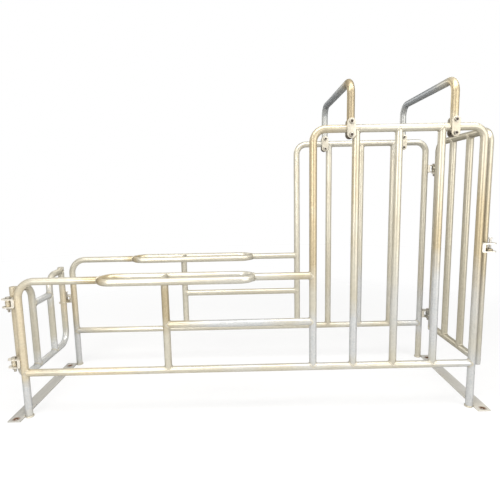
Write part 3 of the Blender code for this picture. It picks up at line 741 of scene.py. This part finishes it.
def each_end(points, ends):
    """Each end of a tube with its joint and the direction from there into the tube."""
    for end, joint, inner in ((ends[0], points[0], points[1]), (ends[1], points[-1], points[-2])):
        yield end, joint, (inner - joint).normalized()


def sweep(shell, points, across, radius=TUBE_RADIUS, closed=False, ends=("flat", "flat")):
    """A round tube along the points. Each end is flat, open, or a function that fits it to a tube."""
    rings = []
    for index, point in enumerate(points):
        normal = across.cross(direction_at(points, index, closed)).normalized()
        rings.append(ring(point, normal, across, radius, TUBE_SIDES))
    if not closed:
        for end, joint, direction in each_end(points, ends):
            rings.reverse()
            finish_end(rings, end, joint, direction, radius)
    skin_rings(shell, rings, closed)


def put_tube(node, corners, across, bend=TALL_BEND_RADIUS, ends=("flat", "flat"), closed=False):
    """The piece for a tube node, welded where an end is fitted to another tube."""
    shell = bmesh.new()
    points = rounded(corners, bend, closed)
    sweep(shell, points, across, closed=closed, ends=ends)
    for end, joint, direction in each_end(points, ends):
        if callable(end):
            saddle_bead(shell, joint, direction, across, TUBE_RADIUS, end)
    piece(node, "tube", shell, TUBE_ZINC, WELD_ZINC)


# Fasteners


def lathe(shell, centre, axis, profile, radius, base=0.0, sides=ROUND_SIDES, material=0):
    """Turns a profile of shares of the radius and heights above the base about the axis."""
    first = axis.orthogonal().normalized()
    second = axis.cross(first)
    rings = []
    for share, height in profile:
        rings.append(ring(centre + axis * (base + height), first, second, radius * share, sides))
    skin_rings(shell, rings, material=material)


def hexagon(shell, centre, axis, corner_radius, height, turn, both_sides):
    """A hexagonal head or nut with its corners chamfered round."""
    flat = corner_radius * math.cos(math.radians(30))
    round_edge = flat * HEXAGON_ROUND
    first = Matrix.Rotation(turn, 3, axis) @ axis.orthogonal().normalized()
    second = axis.cross(first)

    def outline(level, chamfered):
        points = []
        for side in range(FINE_SIDES):
            angle = 2 * math.pi * side / FINE_SIDES
            from_flat = (angle % math.radians(60)) - math.radians(30)
            reach = flat / math.cos(from_flat)
            drop = max(0.0, reach - round_edge) * CHAMFER_SLOPE * chamfered
            across = first * math.cos(angle) + second * math.sin(angle)
            points.append(centre + across * reach + axis * (level - drop))
        return points

    rings = [outline(height, 1.0), ring(centre + axis * height, first, second, round_edge, FINE_SIDES)]
    if both_sides:
        rings = [ring(centre, first, second, round_edge, FINE_SIDES), outline(0.0, -1.0)] + rings
    else:
        rings = [outline(0.0, 0.0)] + rings
    skin_rings(shell, rings)


def thread(shell, centre, axis, radius, low, high):
    """A screw thread between two heights along the axis."""
    first = axis.orthogonal().normalized()
    second = axis.cross(first)
    steps = round((high - low) / THREAD_PITCH * THREAD_STEPS)
    rings = []
    for step in range(steps + 1):
        height = low + (high - low) * step / steps
        points = []
        for side in range(SMALL_SIDES):
            angle = 2 * math.pi * side / SMALL_SIDES
            phase = (height / THREAD_PITCH - side / SMALL_SIDES) % 1.0
            depth = THREAD_DEPTH * radius * (1 - abs(2 * phase - 1))
            across = first * math.cos(angle) + second * math.sin(angle)
            points.append(centre + across * (radius - depth) + axis * height)
        rings.append(points)
    # The thread takes the second finish, near black, which is painted shade in its grooves.
    skin_rings(shell, rings, material=1)


def bolt(shell, start, axis, sizes, grip, turn):
    """Nut, washers, shank and head, from the nut's seat at start towards the head."""
    radius, head, head_height, nut_height, tail = sizes
    lathe(shell, start, axis, ((1.0, 0.0), (1.0, grip)), radius, sides=SMALL_SIDES)
    for base in (grip, -WASHER_THICKNESS):
        lathe(shell, start, axis, WASHER_PROFILE, head * WASHER_REACH, base)
    seat = WASHER_THICKNESS - OVERLAP
    hexagon(shell, start + axis * (grip + seat), axis, head, head_height - seat, turn, False)
    # The near-black disc on the head is painted shade of a dished recess.
    lathe(shell, start, axis, SHADE_DISC_PROFILE, head, grip + head_height, SMALL_SIDES, 1)
    hexagon(shell, start - axis * nut_height, axis, head, nut_height - seat, turn + NUT_TURN, True)
    point = -nut_height - tail
    # The thread and the point are near black, which is painted shade.
    thread(shell, start, axis, radius, point + BOLT_POINT - OVERLAP, -nut_height + THREAD_PITCH)
    lathe(shell, start, axis, POINT_PROFILE, radius, point, SMALL_SIDES, 1)


# Plates


def flat_shape(name, outlines, thickness, rounding=EDGE_ROUNDING):
    """A flat plate in X and Y, rising from Z 0, from its outline and its holes."""
    curve = bpy.data.curves.new(name, "CURVE")
    curve.dimensions = "2D"
    curve.fill_mode = "BOTH"
    curve.extrude = thickness / 2 - rounding
    curve.bevel_depth = rounding
    curve.bevel_resolution = ROUNDING_STEPS
    curve.offset = -rounding
    for points in outlines:
        spline = curve.splines.new("POLY")
        spline.points.add(len(points) - 1)
        for spline_point, (x, y) in zip(spline.points, points):
            spline_point.co = (x, y, 0.0, 1.0)
        spline.use_cyclic_u = True
    guide = put_object(name, curve)
    mesh = evaluated_mesh(guide)
    bpy.data.objects.remove(guide)
    mesh.transform(Matrix.Translation((0, 0, thickness / 2)))
    return mesh


def add_mesh(shell, mesh, matrix):
    """Adds a mesh to a shell at its place, and joins its doubled points."""
    mesh.transform(matrix)
    shell.from_mesh(mesh)
    bpy.data.meshes.remove(mesh)
    bmesh.ops.remove_doubles(shell, verts=shell.verts, dist=DOUBLED_POINT)


# Side panels


def side_panel(side, y):
    """Every tube of one side panel."""
    low, loop_half = LOW_RAIL_HEIGHT, LOOP_WIDTH / 2

    corners = [(REAR_LEG_X, y, 0), (REAR_LEG_X, y, low), (LOOP_START, y, low)]
    put_tube(side + "_rear_hoop", corners, Y_AXIS, bend=LOW_BEND_RADIUS, ends=("flat", on_loop_end))

    corners = [
        (LOOP_START, y - loop_half, low),
        (LOOP_END, y - loop_half, low),
        (LOOP_END, y + loop_half, low),
        (LOOP_START, y + loop_half, low),
    ]
    put_tube(side + "_rest_loop", corners, Z_AXIS, bend=loop_half, closed=True)

    corners = [(LOOP_END, y, low), (POST_X, y, low)]
    put_tube(side + "_rail_stub", corners, Y_AXIS, ends=(on_loop_end, ON_UPRIGHT))

    mid_upright(side, y)

    corners = [(UPRIGHT_X, y, MID_RAIL_HEIGHT), (POST_X, y, MID_RAIL_HEIGHT)]
    put_tube(side + "_mid_rail", corners, Y_AXIS, ends=(ON_UPRIGHT, ON_UPRIGHT))

    corners = [(REAR_LEG_X, y, LOWER_RAIL_HEIGHT), (FRONT_LEG_X, y, LOWER_RAIL_HEIGHT)]
    put_tube(side + "_lower_rail", corners, Y_AXIS, ends=(ON_UPRIGHT, ON_UPRIGHT))

    corners = [
        (POST_X, y, LOWER_RAIL_HEIGHT),
        (POST_X, y, TOP_RAIL_HEIGHT),
        (FRONT_LEG_X, y, TOP_RAIL_HEIGHT),
        (FRONT_LEG_X, y, 0),
    ]
    put_tube(side + "_tall_hoop", corners, Y_AXIS, ends=(ON_LONG_RAIL, "flat"))

    for number, x in enumerate(HEAD_BAR_XS, start=1):
        corners = [(x, y, LOWER_RAIL_HEIGHT), (x, y, TOP_RAIL_HEIGHT)]
        put_tube(f"{side}_head_bar_{number}", corners, Y_AXIS, ends=(ON_LONG_RAIL, ON_LONG_RAIL))


def mid_upright(side, y):
    """The upright with the strut at its head that carries the loop's two tubes."""
    shell = bmesh.new()
    joint = Vector((UPRIGHT_X, y, LOWER_RAIL_HEIGHT))
    head = Vector((UPRIGHT_X, y, LOW_RAIL_HEIGHT))
    on_strut = on_tube(Y_AXIS, STRUT_RADIUS)
    sweep(shell, [joint, head], Y_AXIS, ends=(ON_LONG_RAIL, on_strut))
    saddle_bead(shell, joint, Z_AXIS, Y_AXIS, TUBE_RADIUS, ON_LONG_RAIL)
    saddle_bead(shell, head, -Z_AXIS, Y_AXIS, TUBE_RADIUS, on_strut)
    ends = [head - Y_AXIS * LOOP_WIDTH / 2, head + Y_AXIS * LOOP_WIDTH / 2]
    sweep(shell, ends, X_AXIS, STRUT_RADIUS, ends=(ON_LONG_RAIL, ON_LONG_RAIL))
    for end, direction in zip(ends, (Y_AXIS, -Y_AXIS)):
        saddle_bead(shell, end, direction, X_AXIS, STRUT_RADIUS, ON_LONG_RAIL)
    piece(side + "_mid_upright", "tube", shell, TUBE_ZINC, WELD_ZINC)


# Floor bars


def floor_bar(node, x, leg_side):
    """Flat bar with a bolt hole by each leg, welded to both legs."""
    half = FLOOR_BAR_WIDTH / 2
    near, far = NEAR - FLOOR_BAR_NEAR_OVERHANG, FAR + FLOOR_BAR_FAR_OVERHANG
    outlines = [[(x - half, near), (x + half, near), (x + half, far), (x - half, far)]]
    for leg_y in (NEAR, FAR):
        outlines.append(hole(x, leg_y - FLOOR_BAR_HOLE_OFFSET, FLOOR_BAR_HOLE_RADIUS))
    plate = flat_shape(node, outlines, FLOOR_BAR_THICKNESS, FLOOR_BAR_ROUNDING)
    shell = bmesh.new()
    add_mesh(shell, plate, Matrix.Identity(4))
    leg_x = x + leg_side * (half + SEAT_GAP + TUBE_RADIUS)
    on_bar = x + leg_side * (half - WELD_INSET)
    for leg_y in (NEAR, FAR):
        bar_weld = Vector((leg_x, leg_y, FLOOR_BAR_THICKNESS))
        part_weld(shell, bar_weld, -leg_side, FLOOR_BAR_WELD, tilt=1.0, limit=on_bar)
        foot_weld = Vector((leg_x, leg_y, FOOT_WELD_LIFT * FOOT_WELD[0]))
        part_weld(shell, foot_weld, leg_side, FOOT_WELD, tilt=1.0)
    piece(node, "plate", shell, BAR_ZINC, WELD_ZINC)


# Arches and clamps


def arch(number, x):
    """A bent arch with each end fitted to a top rail."""
    corners = [
        (x, NEAR, TOP_RAIL_HEIGHT),
        (x, NEAR, ARCH_HEIGHT),
        (x, FAR, ARCH_HEIGHT),
        (x, FAR, TOP_RAIL_HEIGHT),
    ]
    shell = bmesh.new()
    sweep(shell, rounded(corners, ARCH_BEND_RADIUS), X_AXIS, ends=(ON_LONG_RAIL, ON_LONG_RAIL))
    piece(f"arch_{number}", "tube", shell, TUBE_ZINC)


def clamp_plate(name, layer, x, side):
    """Round-ended plate with two holes. The plates on the sides turned away take a darker copy of the
    clamp finish, which is painted shade, with a spot of painted shade low by the rail.
    """
    half = CLAMP_WIDTH / 2
    straight = CLAMP_BOLT_FROM_RAIL + CLAMP_EDGE - half
    outline = arc(0, straight, half, 0, 180, HALF_ROUND_STEPS)
    outline += arc(0, -straight, half, 180, 360, HALF_ROUND_STEPS)
    outlines = [outline]
    for level in (-1, 1):
        outlines.append(hole(0, level * CLAMP_BOLT_FROM_RAIL, CLAMP_BOLT_RADIUS + HOLE_CLEARANCE))
    reach = CLAMP_GAP if layer == "outer" else -CLAMP_GAP - CLAMP_THICKNESS
    turn = Matrix.Rotation(-side * math.pi / 2, 4, "X")
    place = Matrix.Translation((x, side * (HALF_SPACING + reach), TOP_RAIL_HEIGHT)) @ turn
    node = f"{name}_{layer}_plate"
    shell = bmesh.new()
    add_mesh(shell, flat_shape(node, outlines, CLAMP_THICKNESS, CLAMP_ROUNDING), place)
    # The plate turned away from the front gets the darker finish, which is painted shade.
    in_painted_shade = layer == ("inner" if side < 0 else "outer")
    piece(node, "zinc", shell, SHADED_CLAMP_ZINC if in_painted_shade else CLAMP_ZINC)


def arch_clamp(name, x, side):
    """Two plates across the top rail, with a bolt above it and one below it, heads outside."""
    for layer in ("outer", "inner"):
        clamp_plate(name, layer, x, side)
    grip = 2 * (CLAMP_GAP + CLAMP_THICKNESS + SEAT_GAP)
    for level, offset, turn in CLAMP_BOLTS:
        start = Vector((x, side * (HALF_SPACING - grip / 2), TOP_RAIL_HEIGHT + offset))
        shell = bmesh.new()
        bolt(shell, start, Y_AXIS * side, CLAMP_BOLT, grip, turn + TURN_PER_METRE * x)
        piece(f"{name}_{level}_bolt", "steel", shell, BOLT_ZINC, BOLT_RECESS_SHADE)


# Hinges and latches


def cut(obj, tool, operation):
    """Cuts an object with a tool, which goes."""
    modifier = obj.modifiers.new("cut", "BOOLEAN")
    modifier.operation = operation
    modifier.object = tool
    modifier.solver = "EXACT"
    result = evaluated_mesh(obj)
    obj.modifiers.clear()
    obj.data = result
    bpy.data.objects.remove(tool)


def prism(name, outline, half_height, matrix=None):
    """A loose solid raised from an outline to both sides of Z 0, used while a piece is made."""
    shell = bmesh.new()
    rings = [[Vector((x, y, z)) for x, y in outline] for z in (-half_height, half_height)]
    skin_rings(shell, rings)
    bmesh.ops.recalc_face_normals(shell, faces=shell.faces)
    mesh = mesh_of(name, shell)
    if matrix:
        mesh.transform(matrix)
    return put_object(name, mesh)


def channel_profile(back, half_height, bend, front, steps):
    """Side view of a folded channel, bent at its two back corners and square in front."""
    profile = arc(back + bend, half_height - bend, bend, 180, 90, steps)
    profile += [(front, half_height), (front, -half_height)]
    profile += arc(back + bend, -half_height + bend, bend, 270, 180, steps)
    return profile


def fork_bracket(node, pin_from_leg):
    """Channel folded from flat bar, with two drilled round-ended plates, for a leg at the origin."""
    half = FORK_WIDTH / 2
    tip = pin_from_leg + FORK_TIP
    upright = Matrix.Rotation(math.pi / 2, 4, "X")
    plan = [(FORK_WRAP, -half)] + arc(tip - half, 0, half, -90, 90, HALF_ROUND_STEPS) + [(FORK_WRAP, half)]
    bracket = prism(node + "_blank", plan, FORK_TOP)
    fold = channel_profile(FORK_WRAP, FORK_TOP, FORK_OUTER_BEND, tip + half, OUTER_BEND_STEPS)
    cut(bracket, prism("fold", fold, FORK_WIDTH, upright), "INTERSECT")
    web = TUBE_RADIUS + SEAT_GAP + FORK_PLATE
    mouth = channel_profile(web, FORK_GAP / 2, FORK_INNER_BEND, tip + half, INNER_BEND_STEPS)
    cut(bracket, prism("mouth", mouth, FORK_WIDTH, upright), "DIFFERENCE")
    seat = hole(0, 0, TUBE_RADIUS + SEAT_GAP, FINE_SIDES)
    cut(bracket, prism("seat", seat, 2 * FORK_TOP), "DIFFERENCE")
    drilled = hole(pin_from_leg, 0, PIN_RADIUS + HOLE_CLEARANCE)
    cut(bracket, prism("drill", drilled, 2 * FORK_TOP), "DIFFERENCE")
    mesh = bracket.data
    bpy.data.objects.remove(bracket)
    return mesh


def fork(node, leg, outward, pin_from_leg):
    """The bracket seated on its leg and welded above and below. outward is -1 at the rear end, else 1."""
    turn = Matrix.Rotation(0 if outward > 0 else math.pi, 4, "Z")
    mesh = fork_bracket(node, pin_from_leg)
    shell = bmesh.new()
    add_mesh(shell, mesh, Matrix.Translation(leg) @ turn)
    for level in (-1, 1):
        part_weld(shell, leg + Z_AXIS * level * (FORK_TOP - WELD_INSET), outward, FORK_WELD)
    obj = piece(node, "bracket", shell, FORK_ZINC, WELD_ZINC)
    soften = obj.modifiers.new("soft_edges", "BEVEL")
    soften.width = FORK_ROUNDING
    soften.segments = ROUNDING_STEPS
    soften.limit_method = "ANGLE"
    soften.angle_limit = SOFTENED_ANGLE
    soften.harden_normals = True


def hinge_pin(node, pin, height):
    """The bolt that a gate hangs on, with its nut below the fork."""
    grip = 2 * (FORK_TOP + SEAT_GAP)
    start = pin + Z_AXIS * (height - grip / 2)
    shell = bmesh.new()
    bolt(shell, start, Z_AXIS, HINGE_BOLT, grip, HINGE_BOLT_TURN + height)
    piece(node, "steel", shell, BOLT_ZINC)


def drop_pin(node, pin, height):
    """Round-headed pin, drawn clear of the latch lug."""
    place = pin + Z_AXIS * height
    tip = -FORK_GAP / 2 + LATCH_LUG_LIFT + LUG_THICKNESS + DROP_PIN_CLEARANCE
    seat = FORK_TOP + SEAT_GAP + DROP_PIN_TRAVEL
    shell = bmesh.new()
    lathe(shell, place, Z_AXIS, (*DROP_PIN_TIP_PROFILE, (1.0, seat - tip)), DROP_PIN_RADIUS, tip)
    profile = list(DROP_PIN_RIM_PROFILE)
    for across, up in arc(0, 0, 1, 0, 90, CROWN_STEPS):
        level = CROWN_START + (DROP_PIN_HEAD_HEIGHT - CROWN_START) * up
        profile.append((1.0 - CROWN_DRAW_IN * (1.0 - across), level))
    lathe(shell, place, Z_AXIS, profile, DROP_PIN_HEAD, seat)
    piece(node, "steel", shell, PIN_ZINC)


def end_hardware(name, leg_x, outward, pin_from_leg, hinge_y, hinge_heights, latch_height):
    """Two hinges on one leg and a latch on the other."""
    pin_x = leg_x + outward * pin_from_leg
    for level, height in zip(("lower", "upper"), hinge_heights):
        fork(f"{name}_{level}_hinge_fork", Vector((leg_x, hinge_y, height)), outward, pin_from_leg)
        hinge_pin(f"{name}_{level}_hinge_pin", Vector((pin_x, hinge_y, 0)), height)
    fork(f"{name}_latch_fork", Vector((leg_x, -hinge_y, latch_height)), outward, pin_from_leg)
    drop_pin(f"{name}_drop_pin", Vector((pin_x, -hinge_y, 0)), latch_height)


def lug(shell, stile, pin, base):
    """Drop-shaped plate from the stile to the pin, with its hole, welded round the stile."""
    span = pin - stile
    length = span.length
    lean = math.degrees(math.acos((LUG_STILE_RADIUS - LUG_EYE_RADIUS) / length))
    outline = arc(0, 0, LUG_STILE_RADIUS, lean, 360 - lean, LUG_ROUND_STEPS)
    outline += arc(length, 0, LUG_EYE_RADIUS, -lean, lean, LUG_TIP_STEPS)
    drilled = hole(length, 0, PIN_RADIUS + HOLE_CLEARANCE)
    turn = Matrix.Rotation(math.atan2(span.y, span.x), 4, "Z")
    place = Matrix.Translation(stile + Z_AXIS * base) @ turn
    add_mesh(shell, flat_shape("lug", [outline, drilled], LUG_THICKNESS), place)
    for level in (0.0, LUG_THICKNESS):
        round_weld(shell, stile + Z_AXIS * (base + level), TUBE_RADIUS, LUG_WELD)


def hinge_eye(shell, pin, height):
    """Barrel of the hinge, bored for its pin."""
    half, bore, edge = EYE_LENGTH / 2, PIN_RADIUS + HOLE_CLEARANCE, EYE_CHAMFER
    centre = pin + Z_AXIS * height
    lower = [
        (bore, -half + edge),
        (bore + edge, -half),
        (EYE_RADIUS - edge, -half),
        (EYE_RADIUS, -half + edge),
    ]
    rings = []
    for radius, level in lower + [(radius, -level) for radius, level in reversed(lower)]:
        rings.append(ring(centre + Z_AXIS * level, X_AXIS, Y_AXIS, radius, TUBE_SIDES))
    skin_rings(shell, rings, closed=True)
    for level in (-1, 1):
        round_weld(shell, centre + Z_AXIS * level * LUG_THICKNESS / 2, EYE_RADIUS, EYE_WELD)


# Gates


def gate_stiles(x, hinge_y):
    """Where the hinge stile and the latch stile stand."""
    inwards = -1 if hinge_y > 0 else 1
    first = hinge_y + inwards * STILE_FROM_PIN
    return Vector((x, first, 0)), Vector((x, first + inwards * GATE_SPAN, 0))


def gate_lugs(shell, x, hinge_y, hinge_heights, latch_height):
    """The lugs of a gate, with an eye at each hinge."""
    hinge_stile, latch_stile = gate_stiles(x, hinge_y)
    pin = Vector((x, hinge_y, 0))
    for height in hinge_heights:
        lug(shell, hinge_stile, pin, height - LUG_THICKNESS / 2)
        hinge_eye(shell, pin, height)
    lug(shell, latch_stile, Vector((x, -hinge_y, 0)), latch_height - FORK_GAP / 2 + LATCH_LUG_LIFT)


def gate_corners(x, first_y, second_y, start_z, turn_z):
    """Corners of a gate's frame: along one stile, across, and back along the other."""
    return [(x, first_y, start_z), (x, first_y, turn_z), (x, second_y, turn_z), (x, second_y, start_z)]


def rear_gate():
    """Bent frame, two bent inner bars and a short crossbar."""
    x = REAR_GATE_X
    hinge_stile, latch_stile = gate_stiles(x, NEAR)
    corners = gate_corners(x, hinge_stile.y, latch_stile.y, REAR_GATE_STILE_TOP, REAR_GATE_BOTTOM)
    shell = bmesh.new()
    sweep(shell, rounded(corners, REAR_GATE_CORNER_RADIUS), X_AXIS)
    gate_lugs(shell, x, NEAR, REAR_HINGE_HEIGHTS, REAR_LATCH_HEIGHT)
    piece("rear_gate_frame", "tube", shell, TUBE_ZINC, WELD_ZINC)

    bar_ys = []
    for name, stile_y, turn in (("hinge", hinge_stile.y, 1), ("latch", latch_stile.y, -1)):
        bar_y = stile_y + turn * REAR_GATE_BAR_FROM_STILE
        bar_ys.append(bar_y)
        top = REAR_GATE_BAR_TOP
        corners = [(x, bar_y, REAR_GATE_BOTTOM), (x, bar_y, top), (x, stile_y, top)]
        ends = (ON_CROSS_RAIL, ON_UPRIGHT)
        put_tube(f"rear_gate_{name}_bar", corners, X_AXIS, bend=REAR_GATE_CORNER_RADIUS, ends=ends)

    corners = [(x, y, REAR_GATE_CROSSBAR_HEIGHT) for y in bar_ys]
    put_tube("rear_gate_crossbar", corners, X_AXIS, ends=(ON_UPRIGHT, ON_UPRIGHT))


def front_gate():
    """Tall hoop with open lower ends, a bottom bar and two upright bars."""
    x = FRONT_GATE_X
    hinge_stile, latch_stile = gate_stiles(x, FAR)
    corners = gate_corners(x, hinge_stile.y, latch_stile.y, FRONT_GATE_STILE_END, FRONT_GATE_TOP)
    shell = bmesh.new()
    sweep(shell, rounded(corners, TALL_BEND_RADIUS), X_AXIS, ends=("open", "open"))
    gate_lugs(shell, x, FAR, FRONT_HINGE_HEIGHTS, FRONT_LATCH_HEIGHT)
    piece("front_gate_hoop", "tube", shell, TUBE_ZINC, WELD_ZINC)

    corners = [(x, hinge_stile.y, FRONT_GATE_BOTTOM), (x, latch_stile.y, FRONT_GATE_BOTTOM)]
    put_tube("front_gate_bottom_bar", corners, X_AXIS, ends=(ON_UPRIGHT, ON_UPRIGHT))

    for number in range(1, FRONT_GATE_BAR_COUNT + 1):
        y = hinge_stile.y - GATE_SPAN * number / (FRONT_GATE_BAR_COUNT + 1)
        corners = [(x, y, FRONT_GATE_BOTTOM), (x, y, FRONT_GATE_TOP)]
        put_tube(f"front_gate_bar_{number}", corners, X_AXIS, ends=(ON_CROSS_RAIL, ON_CROSS_RAIL))


# Stage

FLOOR_REACH = 6.0
FLOOR_FADE = (1.5, 3.0)
FLOOR_GLOW = 0.78
FLOOR_ROUGHNESS = 0.9
WORLD_FILL = 0.10

# Each softbox is its name, its place, its target, its width, its height and its power in watts.
SOFTBOXES = (
    ("over", (1.3, -1.1, 3.0), (1.1, 0.0, 0.5), 4.5, 1.3, 125.0),
    ("right", (3.9, -3.2, 1.4), (1.6, 0.0, 0.8), 3.0, 3.0, 84.0),
    ("left", (-0.3, -2.9, 1.2), (0.2, -0.3, 0.4), 1.0, 1.2, 44.0),
    ("back", (-0.5, 3.6, 2.4), (1.1, 0.0, 0.7), 3.0, 1.5, 45.0),
)

# The camera of the photograph: metres, radians, and millimetres for the lens and its sensor
CAMERA_PLACE = (1.1002, -2.1487, 1.0424)
CAMERA_YAW = 0.0066
CAMERA_PITCH = 0.1416
CAMERA_ROLL = -0.0201
CAMERA_LENS = 29.775
CAMERA_SENSOR = 36.0


def white_to_camera(tree):
    """1 where a camera, glossy or transmission ray looks, 0 for the light's own bounces."""
    path = tree.nodes.new("ShaderNodeLightPath")
    seen = larger(tree, path.outputs["Is Camera Ray"], path.outputs["Is Glossy Ray"])
    return larger(tree, seen, path.outputs["Is Transmission Ray"])


def floor_paper(centre):
    """Pale paper that fades out round the centre, into the white behind it."""
    made, tree, shader, place = material("floor_paper")
    fill(tree, shader, {
        "Base Color": (*FLOOR_WHITE, 1.0),
        "Roughness": FLOOR_ROUGHNESS,
        "Specular IOR Level": 0.0,
        "Alpha": spread(tree, distance_from(tree, place, centre), FLOOR_FADE, (1.0, 0.0)),
    })
    share = spread(tree, white_to_camera(tree), FULL, (0.0, FLOOR_GLOW))
    glow = add_node(tree, "ShaderNodeEmission", {}, 0)
    blend = add_node(tree, "ShaderNodeMixShader", {0: share, 1: shader.outputs[0], 2: glow}, 0)
    fill(tree, tree.nodes["Material Output"], {"Surface": blend})
    return made


def floor():
    """A pale round floor that keeps the stall's shadow."""
    centre = Vector(((REAR_LEG_X + FRONT_LEG_X) / 2, 0, 0))
    shell = bmesh.new()
    edge = ring(centre, X_AXIS, Y_AXIS, FLOOR_REACH, FLOOR_SIDES)
    shell.faces.new([shell.verts.new(point) for point in edge])
    mesh = mesh_of("floor", shell)
    mesh.materials.append(floor_paper(centre))
    obj = put_object("floor", mesh)


def lights():
    """White behind the stall, a little light from all round, and four softboxes."""
    world = bpy.data.worlds.new("studio")
    bpy.context.scene.world = world
    world.use_nodes = True
    tree = world.node_tree
    strength = spread(tree, white_to_camera(tree), FULL, (WORLD_FILL, 1.0))
    fill(tree, tree.nodes["Background"], {"Color": (1.0, 1.0, 1.0, 1.0), "Strength": strength})
    for sizes in SOFTBOXES:
        softbox(*sizes)


def softbox(name, place, target, width, height, watts):
    """A rectangular lamp that faces its target."""
    lamp = bpy.data.lights.new(name, "AREA")
    lamp.shape = "RECTANGLE"
    lamp.size = width
    lamp.size_y = height
    lamp.energy = watts
    lamp.color = LAMP_WHITE
    obj = put_object(name, lamp)
    obj.location = place
    obj.rotation_mode = "QUATERNION"
    obj.rotation_quaternion = (Vector(place) - Vector(target)).to_track_quat("Z", "Y")
    obj.visible_camera = False


def camera():
    """The camera at the photograph's place and angle."""
    data = bpy.data.cameras.new("camera")
    data.sensor_width = CAMERA_SENSOR
    data.lens = CAMERA_LENS
    obj = put_object("camera", data)
    turn = Matrix.Rotation(-CAMERA_YAW, 3, "Z") @ Matrix.Rotation(math.pi / 2 - CAMERA_PITCH, 3, "X")
    turn = turn @ Matrix.Rotation(CAMERA_ROLL, 3, "Z")
    obj.matrix_world = Matrix.Translation(CAMERA_PLACE) @ turn.to_4x4()
    bpy.context.scene.camera = obj


# The whole stall

side_panel("near", NEAR)
side_panel("far", FAR)
floor_bar("rear_floor_bar", REAR_BAR_X, 1)
floor_bar("front_floor_bar", FRONT_BAR_X, -1)
for arch_number, arch_x in enumerate(ARCH_XS, start=1):
    arch(arch_number, arch_x)
    arch_clamp(f"near_clamp_{arch_number}", arch_x, -1)
    arch_clamp(f"far_clamp_{arch_number}", arch_x, 1)
end_hardware("rear", REAR_LEG_X, -1, REAR_PIN_FROM_LEG, NEAR, REAR_HINGE_HEIGHTS, REAR_LATCH_HEIGHT)
end_hardware("front", FRONT_LEG_X, 1, FRONT_PIN_FROM_LEG, FAR, FRONT_HINGE_HEIGHTS, FRONT_LATCH_HEIGHT)
rear_gate()
front_gate()
floor()
lights()
camera()
bpy.context.scene.view_settings.view_transform = "Standard"
